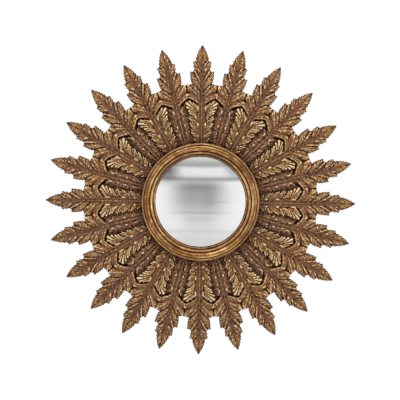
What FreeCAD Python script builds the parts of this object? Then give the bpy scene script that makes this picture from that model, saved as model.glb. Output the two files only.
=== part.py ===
import FreeCAD, Part

# Convex butlers mirror: a small convex glass in a reeded ring, with twelve broad and twelve
# narrow-rooted acanthus leaves screwed round it on a wooden backboard, hung on the wall by two
# D-rings. Everything is drawn lying on its back, with depth along +Z, counted from the wall, and
# then stood up by its Placement, so that the glass faces -Y and the top leaf points along +Z.
import math
import os
from collections import namedtuple

import Sketcher

# Driving dimensions, in millimetres, degrees and counts. Depths are counted from the wall.
SIZES = [
    ("leaf_pairs", 12, "broad leaves, and as many narrow-rooted leaves between them"),
    ("tip_radius", 410, "centre to leaf tip"),
    ("leaf_gap", 1.6, "gap between neighbouring leaves on the line half way between them"),
    ("bumper_height", 7, "wall to back of backboard"),
    ("bumper_radius", 10, "rubber bumper"),
    ("bumper_taper", 1.2, "how much narrower a bumper is at the wall"),
    ("bumper_circle", 280, "circle of the bumpers"),
    ("bumper_angle", 37.5, "bumpers above and below the horizontal"),
    ("board_thickness", 9, "backboard"),
    ("board_radius", 298, "backboard"),
    ("board_chamfer", 2, "front outer edge of backboard"),
    ("glass_radius", 125, "edge of the convex glass"),
    ("glass_rise", 19.5, "bulge of the glass over its edge"),
    ("glass_thickness", 4, "glass"),
    ("glass_edge_depth", 19, "front of the glass edge"),
    ("glass_play", 1.5, "radial play round the glass"),
    ("seat_clearance", 0.3, "between a seat and what rests on it"),
    ("sight_radius", 119, "opening of the ring in front of the glass"),
    ("ring_foot_radius", 149, "ring where it stands on the board"),
    ("ring_foot_depth", 33, "shoulder under the outer reeds"),
    ("ring_rise_inner", 132, "raised middle of the ring, inside"),
    ("ring_rise_outer", 147.3, "raised middle of the ring, outside"),
    ("ring_rise_depth", 38.4, "front of the raised middle"),
    ("lip_front_depth", 26.8, "front of the sight lip"),
    ("lip_bead_radius", 121.4, "bead on the sight lip"),
    ("lip_bead_size", 2.4, "half width of that bead"),
    ("reed1_radius", 128.7, "first reed from the glass"),
    ("reed1_size", 4.7, "half width of the first reed"),
    ("reed1_depth", 31.6, "centre of the first reed"),
    ("reed2_radius", 137.1, "second reed"),
    ("reed2_size", 4.4, "half width of the second reed"),
    ("reed2_depth", 37.6, "centre of the second reed"),
    ("reed3_radius", 144.1, "third reed"),
    ("reed3_size", 3.5, "half width of the third reed"),
    ("reed3_depth", 38.5, "centre of the third reed"),
    ("reed4_radius", 150, "outer reed"),
    ("reed4_size", 3.4, "half width of the outer reed"),
    ("reed4_depth", 35.6, "centre of the outer reed"),
    ("cover_thickness", 3, "hardboard back cover"),
    ("cover_play", 1, "radial play round the back cover"),
    ("packing_width", 8, "packing ring between cover and glass"),
    ("button_count", 4, "turn-buttons that hold the back cover"),
    ("button_pivot_circle", 136, "circle of the turn-button screws"),
    ("button_reach", 16, "pivot to centre of the inner end"),
    ("button_tail", 3, "pivot to centre of the outer end"),
    ("button_half_width", 6, "turn-button"),
    ("button_thickness", 2, "turn-button"),
    ("running_clearance", 0.08, "radial, round a pivot"),
    ("screw_clearance", 0.05, "radial, round a screw in wood or casting"),
    ("screw_radius", 2, "wood screw shank"),
    ("screw_head_radius", 3.6, "pan head"),
    ("screw_head_height", 2.2, "pan head"),
    ("screw_recess_length", 4, "cross recess"),
    ("screw_recess_width", 0.9, "cross recess"),
    ("screw_recess_depth", 1.1, "cross recess"),
    ("screw_point", 3, "tapered point of a screw"),
    ("leaf_screw_bite", 7, "leaf screw beyond the front of the board"),
    ("leaf_screw_inner", 166, "inner circle of leaf screws"),
    ("leaf_screw_outer", 268, "outer circle of leaf screws"),
    ("ring_screws", 8, "screws that hold the ring"),
    ("ring_screw_circle", 140, "circle of the ring screws"),
    ("ring_screw_bite", 12, "ring screw beyond the front of the board"),
    ("short_screw_bite", 7, "turn-button and hanger screws inside the board"),
    ("hanger_spacing", 380, "between the two D-rings"),
    ("hanger_height", 100, "D-ring hinges above the centre"),
    ("strap_width", 14, "hanger strap"),
    ("strap_length", 50, "hinge to end of strap"),
    ("strap_thickness", 1, "hanger strap"),
    ("strap_screw_first", 27, "hinge to first strap screw"),
    ("strap_screw_second", 42, "hinge to second strap screw"),
    ("strap_curl", 285, "degrees that the strap curls round the D-ring"),
    ("dring_wire_radius", 1.4, "D-ring wire"),
    ("dring_radius", 13, "centre line of the D-ring's bow"),
    ("blank_depth", 60, "block that a leaf is cut from"),
    ("rib_half_width", 3, "raised midrib of a leaf"),
    ("crown_share", 0.5, "highest line of a leaf's side, as a share of the side's width"),
]

# Half the outline of a leaf, from tip to root. Each lobe swells from the notch before it out to its
# edge and back to its own notch. Distances along are drawn on a leaf that runs from DRAWN_ROOT to
# DRAWN_TIP, counted from the mirror's centre, and stretch with the leaf; distances across are
# counted from the midrib.
DRAWN_ROOT = 149.3
DRAWN_TIP = 410
Lobe = namedtuple("Lobe", "name edge_along edge_across notch_along notch_across")
OUTER_LOBES = [
    Lobe("point", 387.5, 9.8, 373, 15.5),
    Lobe("tooth", 362, 22.5, 343.5, 18.5),
    Lobe("shoulder", 328, 30, 300.5, 14),
]
BROAD_ROOT_LOBES = [
    Lobe("raised", 254, 43.5, 233, 28.5),
    Lobe("thin", 228, 34.5, 221, 29),
    Lobe("bright", 210, 35, 186, 24.5),
    Lobe("small", 177, 25, 163, 15),
]
NARROW_ROOT_LOBES = [
    Lobe("strip", 232, 19.5, 205, 15.5),
    Lobe("root", 184, 16, 163, 11),
]
# The two widest lobes of every leaf reach the line half way to the next leaf.
Point = namedtuple("Point", "name along across")
UPPER_WIDE_SPAN = (304, 288)
WIDE_NOTCH = Point("wide_notch", 285, 24)
LOWER_WIDE_SPAN = (282.5, 269)
BROAD_WAIST = Point("broad_waist", 265.5, 27)
NARROW_WAIST = Point("narrow_waist", 264.5, 18)

# Stations along a leaf: distance from the centre, drawn as above, half width of the slab there, and
# how far its back, edge, crown, the groove beside the midrib and the midrib stand in front of the
# board.
Station = namedtuple("Station", "name along half_width back edge crown groove rib")
BROAD_ROOT_STATIONS = [
    Station("broad_root", 149.3, 17, 0, 5, 11, 10, 12.5),
    Station("broad_heel", 186, 34, 0, 9, 18, 13, 16),
    Station("broad_knee", 243, 47, 0, 13, 24, 17, 20),
    Station("broad_waist", 268, 46, 0, 9, 18, 15.5, 19),
]
NARROW_ROOT_STATIONS = [
    Station("narrow_root", 149.3, 14, 0, 4, 9.5, 9, 11),
    Station("narrow_heel", 186, 22, 0, 5, 11, 10, 12.5),
    Station("narrow_knee", 243, 24, 0, 6, 13, 12, 15),
    Station("narrow_waist", 268, 46, 0, 8, 16, 14, 17.5),
]
OUTER_STATIONS = [
    Station("board_edge", 300, 46, 0, 8, 17, 13.5, 17),
    Station("neck", 345, 32, -2.5, 5, 12, 9, 12),
    Station("beak", 385, 16, -5, 1, 5, 3.5, 5.5),
    Station("tip", 411, 6, -7, -3, -1, -1.4, 0),
]

FRONT_OF_BOARD = "Sizes.bumper_height + Sizes.board_thickness"
GLASS_SPHERE = "(Sizes.glass_radius ^ 2 + Sizes.glass_rise ^ 2) / (2 * Sizes.glass_rise)"
GLASS_APEX = "Sizes.glass_edge_depth + Sizes.glass_rise"
OPENING_RADIUS = "Sizes.glass_radius + Sizes.glass_play"
STAND_UP = FreeCAD.Rotation(FreeCAD.Vector(1, 0, 0), 90)
UP_THE_AXIS = FreeCAD.Vector(0, 0, 1)

doc = FreeCAD.newDocument("convex_butlers_mirror")
sheet = doc.addObject("Spreadsheet::Sheet", "Sizes")
nodes = []


def fill_sheet():
    """Write every driving dimension into the sheet, one to a row, under its alias."""
    rows = [(alias, number, note) for alias, number, note in SIZES]
    for row, (alias, number, note) in enumerate(rows, start=1):
        sheet.set(f"A{row}", note)
        sheet.set(f"B{row}", str(number))
        sheet.setAlias(f"B{row}", alias)
    doc.recompute()


def value(expression):
    """Number that an expression on the sheet comes to."""
    return float(sheet.evalExpression(expression))


def size(alias):
    """Number in the sheet's cell of that alias."""
    return float(sheet.get(alias))


def bind(thing, **expressions):
    """Tie properties of an object to expressions on the sheet. In a name, __ stands for a dot."""
    for name, expression in expressions.items():
        thing.setExpression(name.replace("__", "."), expression)
    return thing


def make(kind, name, **expressions):
    """Add an object of that kind and tie its properties to the sheet."""
    return bind(doc.addObject(kind, name), **expressions)


def disc(name, radius, start, height):
    """Cylinder about the mirror's axis, or wherever its Placement then puts it."""
    return make("Part::Cylinder", name, Radius=radius, Height=height, Placement__Base__z=start)


def tube(name, outer, inner, start, height):
    """Flat ring about the mirror's axis."""
    rod = disc(name + "_outside", outer, start, height)
    core = disc(name + "_inside", inner, f"{start} - 1", f"{height} + 2")
    return cut(name, rod, core)


def bead(name, radius, half_width, depth):
    """Round bead that runs about the mirror's axis."""
    return make("Part::Torus", name, Radius1=radius, Radius2=half_width, Placement__Base__z=depth)


def fuse(name, *shapes):
    """One solid from several that overlap."""
    joined = doc.addObject("Part::MultiFuse", name)
    joined.Shapes = list(shapes)
    joined.Refine = False
    return joined


def cut(name, base, tool):
    """Base with the tool taken away."""
    rest = doc.addObject("Part::Cut", name)
    rest.Base = base
    rest.Tool = tool
    return rest


def common(name, base, tool):
    """What base and tool share."""
    shared = doc.addObject("Part::Common", name)
    shared.Base = base
    shared.Tool = tool
    return shared


def feature(name, shape):
    """Object that holds a shape made with Part's own functions."""
    holder = doc.addObject("Part::Feature", name)
    holder.Shape = shape
    return holder


def on_circle(radius, angle, depth=0):
    """Point at that radius and angle, in degrees clockwise from the top as seen from the front."""
    turn = math.radians(angle)
    return FreeCAD.Vector(radius * math.sin(turn), radius * math.cos(turn), depth)


def steps(count, start=0):
    """Angles of that many places shared out evenly round the circle."""
    return [start + 360 * number / count for number in range(count)]


def rods(name, radius, start, length, places):
    """Rods along the depth at several places, as one tool to cut with."""
    return feature(name, Part.makeCompound([
        Part.makeCylinder(radius, length, FreeCAD.Vector(place.x, place.y, start)) for place in places
    ]))


def finish(thing, label, spot=FreeCAD.Vector(0, 0, 0), turn=0):
    """Name a sub-part, put it at its place on the lying mirror and stand it up."""
    thing.Label = label
    lying = FreeCAD.Placement(spot, FreeCAD.Rotation(UP_THE_AXIS, -turn))
    thing.Placement = FreeCAD.Placement(FreeCAD.Vector(0, 0, 0), STAND_UP).multiply(lying)
    nodes.append(thing)
    return thing


# Places of the fasteners and of what they hold.

def leaf_angles():
    """Angles of all leaves: a broad one, then a narrow-rooted one, and so on."""
    return steps(2 * int(size("leaf_pairs")))


def leaf_screw_places():
    """Two screws to each leaf."""
    circles = (size("leaf_screw_inner"), size("leaf_screw_outer"))
    return [on_circle(circle, angle) for circle in circles for angle in leaf_angles()]


def ring_screw_places():
    """Screws of the ring, each half way between two turn-buttons or beside one."""
    count = int(size("ring_screws"))
    return [on_circle(size("ring_screw_circle"), angle) for angle in steps(count, 180 / count)]


def button_angles():
    """Turn-buttons, on the diagonals."""
    count = int(size("button_count"))
    return steps(count, 180 / count)


def button_places():
    """Pivots of the turn-buttons."""
    return [on_circle(size("button_pivot_circle"), angle) for angle in button_angles()]


def hanger_places():
    """Hinges of the left and the right D-ring."""
    half = size("hanger_spacing") / 2
    return {side: FreeCAD.Vector(sign * half, size("hanger_height"), 0)
            for side, sign in (("left", -1), ("right", 1))}


def hanger_screw_places():
    """Two screws down each strap."""
    return [hinge - FreeCAD.Vector(0, size(down), 0)
            for hinge in hanger_places().values() for down in ("strap_screw_first", "strap_screw_second")]


def bumper_places():
    """Four bumpers, above and below the horizontal on both sides."""
    lift = size("bumper_angle")
    angles = (90 - lift, 90 + lift, 270 - lift, 270 + lift)
    return [on_circle(size("bumper_circle"), angle) for angle in angles]


# Screws.

def screw_shape(head_back, seat, point):
    """Pan-head screw along the depth: its head behind the seat, its point at the far end."""
    radius = size("screw_radius")
    head_radius = size("screw_head_radius")
    taper = size("screw_point")
    crown = Part.makeSphere(head_radius * 2, FreeCAD.Vector(0, 0, head_back + head_radius * 2))
    head = Part.makeCylinder(head_radius, seat - head_back, FreeCAD.Vector(0, 0, head_back)).common(crown)
    length, width = size("screw_recess_length"), size("screw_recess_width")
    for across, along in ((length, width), (width, length)):
        corner = FreeCAD.Vector(-across / 2, -along / 2, head_back)
        head = head.cut(Part.makeBox(across, along, size("screw_recess_depth"), corner))
    shank = Part.makeCylinder(radius, point - taper - seat, FreeCAD.Vector(0, 0, seat))
    tip = Part.makeCone(radius, radius / 4, taper, FreeCAD.Vector(0, 0, point - taper))
    return head.fuse([shank, tip]).removeSplitter()


def screw_group(label, places, seat, point):
    """One node of like screws, each a solid of its own."""
    screw = screw_shape(seat - size("screw_head_height"), seat, point)
    group = Part.makeCompound([screw.translated(place) for place in places])
    return finish(feature(label, group), label)


def pilot_tool(name, places, point):
    """Holes for a group of screws, from behind the board to just past their points."""
    radius = size("screw_radius") + size("screw_clearance")
    return rods(name, radius, 0, point + size("seat_clearance"), places)


# Leaves.

def stretch(along):
    """Distance from the centre of a place drawn on the leaf."""
    root = size("ring_foot_radius") + size("seat_clearance")
    return root + (along - DRAWN_ROOT) * (size("tip_radius") - root) / (DRAWN_TIP - DRAWN_ROOT)


def half_way(along):
    """Place on the line half way to the next leaf, less half the gap."""
    slope = math.radians(180 / len(leaf_angles()))
    return along, along * math.tan(slope) - size("leaf_gap") / 2 / math.cos(slope)


def outline(root_lobes, waist):
    """Closed outline of a leaf that points along +Y, as one wire."""
    pieces = []
    here = (stretch(DRAWN_TIP), 0)

    def swell(lobe):
        edge = (stretch(lobe.edge_along), lobe.edge_across)
        notch = (stretch(lobe.notch_along), lobe.notch_across)
        pieces.append((here, edge, notch))
        return notch

    def straight(end):
        pieces.append((here, end))
        return end

    for lobe in OUTER_LOBES:
        here = swell(lobe)
    here = straight(half_way(stretch(UPPER_WIDE_SPAN[0])))
    here = straight(half_way(stretch(UPPER_WIDE_SPAN[1])))
    here = straight((stretch(WIDE_NOTCH.along), WIDE_NOTCH.across))
    here = straight(half_way(stretch(LOWER_WIDE_SPAN[0])))
    here = straight(half_way(stretch(LOWER_WIDE_SPAN[1])))
    here = straight((stretch(waist.along), waist.across))
    for lobe in root_lobes:
        here = swell(lobe)
    here = straight((stretch(DRAWN_ROOT), here[1]))
    edges = []
    for side in (1, -1):
        for piece in pieces:
            corners = [FreeCAD.Vector(side * across, along, 0) for along, across in piece]
            edges.append(Part.Arc(*corners) if len(corners) == 3 else Part.LineSegment(*corners))
    root_corner = FreeCAD.Vector(here[1], here[0], 0)
    edges.append(Part.LineSegment(root_corner, FreeCAD.Vector(-here[1], here[0], 0)))
    return Part.Wire(Part.__sortEdges__([edge.toShape() for edge in edges]))


def section(station):
    """Closed section of a leaf's slab across the leaf at one station."""
    board = value(FRONT_OF_BOARD)
    width = station.half_width
    crown = width * size("crown_share")
    rib = size("rib_half_width")
    half = [(0, station.rib), (rib, station.groove), (crown, station.crown), (width, station.edge),
            (width, station.back)]
    corners = half + [(-across, depth) for across, depth in reversed(half[1:])]
    along = stretch(station.along)
    points = [FreeCAD.Vector(across, along, board + depth) for across, depth in corners]
    return Part.makePolygon(points + points[:1])


def leaf_blank(name, root_lobes, waist, stations):
    """Leaf that points along +Y, before its screw holes: its outline cut through its slab."""
    block = make("Part::Extrusion", name + "_block", LengthFwd="Sizes.blank_depth")
    block.Base = feature(name + "_outline", outline(root_lobes, waist))
    block.DirMode = "Custom"
    block.Dir = UP_THE_AXIS
    block.Solid = True
    slab = doc.addObject("Part::Loft", name + "_slab")
    slab.Sections = [feature(f"{name}_{station.name}", section(station)) for station in stations]
    slab.Solid = True
    slab.Ruled = True
    return common(name + "_blank", block, slab)


def leaves():
    """Twelve broad leaves, and twelve narrow-rooted ones between them."""
    point = value(FRONT_OF_BOARD) + size("leaf_screw_bite")
    circles = (size("leaf_screw_inner"), size("leaf_screw_outer"))
    holes = pilot_tool("leaf_screw_holes", [on_circle(circle, 0) for circle in circles], point)
    blanks = (
        ("broad_leaf", leaf_blank("broad", BROAD_ROOT_LOBES, BROAD_WAIST,
                                  BROAD_ROOT_STATIONS + OUTER_STATIONS)),
        ("narrow_leaf", leaf_blank("narrow", NARROW_ROOT_LOBES, NARROW_WAIST,
                                   NARROW_ROOT_STATIONS + OUTER_STATIONS)),
    )
    for number, angle in enumerate(leaf_angles()):
        kind, blank = blanks[number % 2]
        label = f"{kind}_{number // 2 + 1:02d}"
        finish(cut(label, blank, holes), label, turn=angle)
    screw_group("leaf_screws", leaf_screw_places(), size("bumper_height"), point)


# Board, ring and glass.

def circle_sketch(body, name, radii, depth, places=None):
    """Sketch of circles on a plane of the body parallel to the wall."""
    sketch = body.newObject("Sketcher::SketchObject", name)
    plane = [item for item in body.Origin.OriginFeatures if item.Role == "XY_Plane"][0]
    sketch.AttachmentSupport = [(plane, "")]
    sketch.MapMode = "FlatFace"
    sketch.setExpression("AttachmentOffset.Base.z", depth)
    for number, radius in enumerate(radii):
        circle = Part.Circle(FreeCAD.Vector(0, 0, 0), UP_THE_AXIS, value(radius))
        index = sketch.addGeometry(circle, False)
        sketch.addConstraint(Sketcher.Constraint("Coincident", index, 3, -1, 1))
        fixed = sketch.addConstraint(Sketcher.Constraint("Radius", index, value(radius)))
        sketch.setExpression(f"Constraints[{fixed}]", radius)
    return sketch


def backboard():
    """Wooden ring that carries everything, with a hole for each screw."""
    body = doc.addObject("PartDesign::Body", "board_body")
    rim = circle_sketch(body, "board_rim", ("Sizes.board_radius", OPENING_RADIUS), "Sizes.bumper_height")
    pad = body.newObject("PartDesign::Pad", "board_pad")
    pad.Profile = rim
    pad.setExpression("Length", "Sizes.board_thickness")
    doc.recompute()
    front = value(FRONT_OF_BOARD)
    outer = [f"Edge{number}" for number, edge in enumerate(pad.Shape.Edges, start=1)
             if abs(edge.BoundBox.ZMin - front) < 1e-6 and edge.BoundBox.XMax > size("board_radius") - 1e-6
             and abs(edge.BoundBox.ZMax - front) < 1e-6]
    chamfer = body.newObject("PartDesign::Chamfer", "board_chamfer")
    chamfer.Base = (pad, outer)
    chamfer.setExpression("Size", "Sizes.board_chamfer")
    body.Tip = chamfer
    past = front + 1
    through = pilot_tool("board_through_holes", leaf_screw_places() + ring_screw_places(), past)
    blind = pilot_tool("board_blind_holes", button_places() + hanger_screw_places(),
                       size("bumper_height") + size("short_screw_bite"))
    finish(cut("board", body, fuse_tools("board_holes", through, blind)), "backboard")


def fuse_tools(name, *tools):
    """Several tools as one, where they don't touch each other."""
    group = doc.addObject("Part::Compound", name)
    group.Links = list(tools)
    return group


def ring_frame():
    """Reeded ring that holds the glass against the board, rebated behind."""
    board = FRONT_OF_BOARD
    roof = f"{GLASS_APEX} - {GLASS_SPHERE} + sqrt(({GLASS_SPHERE}) ^ 2 - Sizes.sight_radius ^ 2)"
    lip_back = f"{roof} + Sizes.seat_clearance"
    foot = tube("ring_foot", "Sizes.ring_foot_radius", OPENING_RADIUS, board,
                f"Sizes.ring_foot_depth - ({board})")
    lip = tube("ring_lip", "Sizes.ring_rise_inner", "Sizes.sight_radius", lip_back,
               f"Sizes.lip_front_depth - ({lip_back})")
    rise = tube("ring_rise", "Sizes.ring_rise_outer", "Sizes.ring_rise_inner - Sizes.reed1_size / 2", board,
                f"Sizes.ring_rise_depth - ({board})")
    beads = [bead("lip_bead", "Sizes.lip_bead_radius", "Sizes.lip_bead_size", "Sizes.lip_front_depth")]
    for number in (1, 2, 3, 4):
        reed = f"Sizes.reed{number}"
        beads.append(bead(f"reed{number}", f"{reed}_radius", f"{reed}_size", f"{reed}_depth"))
    whole = fuse("ring_whole", foot, lip, rise, *beads)
    point = value(board) + size("ring_screw_bite")
    holes = pilot_tool("ring_screw_holes", ring_screw_places(), point)
    finish(cut("ring", whole, holes), "ring_frame")
    screw_group("ring_screws", ring_screw_places(), size("bumper_height"), point)


def mirror_glass():
    """Round meniscus of glass, silvered behind, that bulges towards the room."""
    blank = disc("glass_blank", "Sizes.glass_radius", "Sizes.glass_edge_depth - Sizes.glass_thickness",
                 "Sizes.glass_rise + Sizes.glass_thickness")
    front = make("Part::Sphere", "glass_front", Radius=GLASS_SPHERE,
                 Placement__Base__z=f"{GLASS_APEX} - {GLASS_SPHERE}")
    back = make("Part::Sphere", "glass_back", Radius=GLASS_SPHERE,
                Placement__Base__z=f"{GLASS_APEX} - {GLASS_SPHERE} - Sizes.glass_thickness")
    finish(cut("glass", common("glass_dome", blank, front), back), "mirror_glass")


def back_cover():
    """Hardboard disc in the board's opening, and the packing ring between it and the glass."""
    radius = f"{OPENING_RADIUS} - Sizes.cover_play"
    cover = make("Part::Cylinder", "cover", Radius=radius, Height="Sizes.cover_thickness")
    finish(cover, "back_cover", FreeCAD.Vector(0, 0, size("bumper_height")))
    start = "Sizes.bumper_height + Sizes.cover_thickness"
    height = f"Sizes.glass_edge_depth - Sizes.glass_thickness - Sizes.seat_clearance - ({start})"
    finish(tube("packing", radius, f"{radius} - Sizes.packing_width", start, height), "glass_packing")


def turn_buttons():
    """Turn-buttons that lap over the back cover, each pivoted on its screw."""
    back = "Sizes.bumper_height - Sizes.seat_clearance - Sizes.button_thickness"
    bar = make("Part::Box", "button_bar", Length="2 * Sizes.button_half_width",
               Width="Sizes.button_reach + Sizes.button_tail", Height="Sizes.button_thickness",
               Placement__Base__x="-Sizes.button_half_width", Placement__Base__y="-Sizes.button_reach",
               Placement__Base__z=back)
    inner = disc("button_inner_end", "Sizes.button_half_width", back, "Sizes.button_thickness")
    bind(inner, Placement__Base__y="-Sizes.button_reach")
    outer = disc("button_outer_end", "Sizes.button_half_width", back, "Sizes.button_thickness")
    bind(outer, Placement__Base__y="Sizes.button_tail")
    plate = fuse("button_plate", bar, inner, outer)
    bore = disc("button_bore", "Sizes.screw_radius + Sizes.running_clearance", "0 * Sizes.bumper_height",
                "Sizes.bumper_height")
    for number, angle in enumerate(button_angles(), start=1):
        label = f"turn_button_{number}"
        finish(cut(label, plate, bore), label, on_circle(size("button_pivot_circle"), angle), angle)
    seat = value(f"{back} - Sizes.seat_clearance")
    point = size("bumper_height") + size("short_screw_bite")
    screw_group("turn_button_screws", button_places(), seat, point)


# Hangers and bumpers.

def strap_profile():
    """Side view of a hanger strap, hinge at y = 0: a flat strip that curls round the D-ring."""
    inner = size("dring_wire_radius") + size("running_clearance")
    outer = inner + size("strap_thickness")
    centre = size("bumper_height") - outer
    turn = math.radians(size("strap_curl"))

    def rim(radius, angle):
        return FreeCAD.Vector(0, radius * math.sin(angle), centre + radius * math.cos(angle))

    foot = -size("strap_length")
    edges = [
        Part.LineSegment(FreeCAD.Vector(0, foot, centre + outer), rim(outer, 0)),
        Part.Arc(rim(outer, 0), rim(outer, turn / 2), rim(outer, turn)),
        Part.LineSegment(rim(outer, turn), rim(inner, turn)),
        Part.Arc(rim(inner, turn), rim(inner, turn / 2), rim(inner, 0)),
        Part.LineSegment(rim(inner, 0), FreeCAD.Vector(0, foot, centre + inner)),
        Part.LineSegment(FreeCAD.Vector(0, foot, centre + inner), FreeCAD.Vector(0, foot, centre + outer)),
    ]
    return Part.Wire([edge.toShape() for edge in edges])


def hangers():
    """Two straps screwed to the board, each with a D-ring that swings in its curl."""
    strip = make("Part::Extrusion", "strap_strip", LengthFwd="Sizes.strap_width / 2",
                 LengthRev="Sizes.strap_width / 2")
    strip.Base = feature("strap_profile", strap_profile())
    strip.DirMode = "Custom"
    strip.Dir = FreeCAD.Vector(1, 0, 0)
    strip.Solid = True
    downs = [FreeCAD.Vector(0, -size(down), 0) for down in ("strap_screw_first", "strap_screw_second")]
    holes = pilot_tool("strap_holes", downs, size("bumper_height"))
    depth = "Sizes.bumper_height - Sizes.strap_thickness - Sizes.dring_wire_radius - Sizes.running_clearance"
    wire = "Sizes.dring_wire_radius"
    bar = make("Part::Cylinder", "dring_bar", Radius=wire, Height="2 * Sizes.dring_radius")
    bar.Placement.Rotation = FreeCAD.Rotation(FreeCAD.Vector(0, 1, 0), 90)
    bind(bar, Placement__Base__x="-Sizes.dring_radius")
    bow = make("Part::Torus", "dring_bow", Radius1="Sizes.dring_radius", Radius2=wire)
    bow.Angle3 = 180
    bow.Placement.Rotation = FreeCAD.Rotation(UP_THE_AXIS, 180)
    corners = [make("Part::Sphere", f"dring_corner{number}", Radius=wire,
                    Placement__Base__x=f"{sign}Sizes.dring_radius") for number, sign in enumerate(("", "-"))]
    for side, hinge in hanger_places().items():
        label = f"hanger_strap_{side}"
        finish(cut(label, strip, holes), label, hinge)
        ring = fuse(f"dring_{side}", bar, bow, *corners)
        finish(ring, f"hanger_ring_{side}", hinge + FreeCAD.Vector(0, 0, value(depth)))
    seat = size("bumper_height") - size("strap_thickness")
    point = size("bumper_height") + size("short_screw_bite")
    screw_group("hanger_screws", hanger_screw_places(), seat, point)


def bumpers():
    """Rubber bumpers that hold the board off the wall."""
    radius, height = size("bumper_radius"), size("bumper_height")
    group = Part.makeCompound([
        Part.makeCone(radius - size("bumper_taper"), radius, height, place) for place in bumper_places()
    ])
    finish(feature("bumpers", group), "wall_bumpers")


def write_parts():
    """Check every object and every sub-part, then write each sub-part to its own file."""
    doc.recompute()
    for thing in doc.Objects:
        if "Invalid" in thing.State or "Error" in thing.State:
            raise RuntimeError(f"{thing.Name} failed: {thing.State}")
    os.makedirs("parts", exist_ok=True)
    for node in nodes:
        shape = node.Shape
        if shape.isNull() or not shape.isValid() or not shape.Solids:
            raise RuntimeError(f"{node.Label} has no valid solid")
    for node in nodes:
        box = node.Shape.BoundBox
        print(f"{node.Label}: {len(node.Shape.Solids)} solids, {node.Shape.Volume / 1000:.2f} cm3, "
              f"depth {-box.YMax:.2f} to {-box.YMin:.2f}")
        node.Shape.exportStep(os.path.join("parts", node.Label + ".step"))


fill_sheet()
backboard()
ring_frame()
mirror_glass()
back_cover()
leaves()
turn_buttons()
hangers()
bumpers()
write_parts()
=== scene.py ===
"""Looks of a convex butlers mirror: gilded acanthus leaves and a reeded ring round a convex glass.

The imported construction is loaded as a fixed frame. The leaves, the ring and the glass are modelled
here in full and stand for their nodes; the board and its fittings keep their own shapes and get
their finishes. Lengths inside the carving are in millimetres, depths are counted from the wall
towards the room, and everything placed in the scene is in metres.
"""

import logging
import math
from dataclasses import dataclass, field
from enum import Enum
from typing import Any, Iterable, Optional, Sequence, Union

import bpy
import numpy as np
from mathutils import Matrix, Vector


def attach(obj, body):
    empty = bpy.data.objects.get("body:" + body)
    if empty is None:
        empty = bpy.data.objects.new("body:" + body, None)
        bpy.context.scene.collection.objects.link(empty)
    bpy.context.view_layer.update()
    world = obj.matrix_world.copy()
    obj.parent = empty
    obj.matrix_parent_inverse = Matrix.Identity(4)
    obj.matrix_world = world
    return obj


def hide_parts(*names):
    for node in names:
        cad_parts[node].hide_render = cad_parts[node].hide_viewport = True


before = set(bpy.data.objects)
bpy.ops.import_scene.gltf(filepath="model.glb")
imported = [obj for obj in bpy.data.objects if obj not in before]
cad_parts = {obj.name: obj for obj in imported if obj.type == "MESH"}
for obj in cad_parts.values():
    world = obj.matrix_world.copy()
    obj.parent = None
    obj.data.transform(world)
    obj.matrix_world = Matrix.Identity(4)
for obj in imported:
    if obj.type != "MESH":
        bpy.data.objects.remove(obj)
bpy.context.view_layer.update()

logging.basicConfig(level=logging.INFO, format="%(message)s")
log = logging.getLogger("mirror")

Colour = tuple[float, float, float]
Pair = tuple[float, float]

MM = 0.001
FRAME_BODY = "frame"
# The Mix node has sockets for every kind of data. These are the ones that mix colours.
MIX_SHARE = 0
MIX_FIRST = 6
MIX_SECOND = 7
MIX_RESULT = 2


# ---------------------------------------------------------------------------------------- shading


class Socket:
    """Output of a shader node that can be used in plain arithmetic."""

    def __init__(self, graph: "Graph", output: bpy.types.NodeSocket) -> None:
        """Remember the graph and the output.

        Args:
            graph: the graph that new nodes go into.
            output: the node's output.
        """
        self.graph = graph
        self.output = output

    def _maths(self, operation: str, *values: Any) -> "Socket":
        """Math node of that operation on these values."""
        return self.graph.node("ShaderNodeMath", {"operation": operation}, dict(enumerate(values)))

    def __add__(self, other: Any) -> "Socket":
        """Sum of two values."""
        return self._maths("ADD", self, other)

    __radd__ = __add__

    def __sub__(self, other: Any) -> "Socket":
        """This value less another."""
        return self._maths("SUBTRACT", self, other)

    def __rsub__(self, other: Any) -> "Socket":
        """Another value less this one."""
        return self._maths("SUBTRACT", other, self)

    def __mul__(self, other: Any) -> "Socket":
        """Product of two values."""
        return self._maths("MULTIPLY", self, other)

    __rmul__ = __mul__

    def __abs__(self) -> "Socket":
        """Size of this value, whatever its sign."""
        return self._maths("ABSOLUTE", self)

    def centred(self) -> "Socket":
        """This value, which varies about a half, moved to vary about 0."""
        return self - 0.5

    def clamped(self) -> "Socket":
        """This value held between 0 and 1."""
        return self.graph.node("ShaderNodeClamp", {}, {"Value": self}, "Result")

    def between(self, low: float, high: float) -> "Socket":
        """Smooth step from 0 at low to 1 at high.

        Args:
            low: value where the step starts.
            high: value where the step ends.

        Returns:
            The step, from 0 to 1.
        """
        inputs = {"Value": self, "From Min": low, "From Max": high}
        return self.graph.node("ShaderNodeMapRange", {"interpolation_type": "SMOOTHSTEP"}, inputs, "Result")


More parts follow.
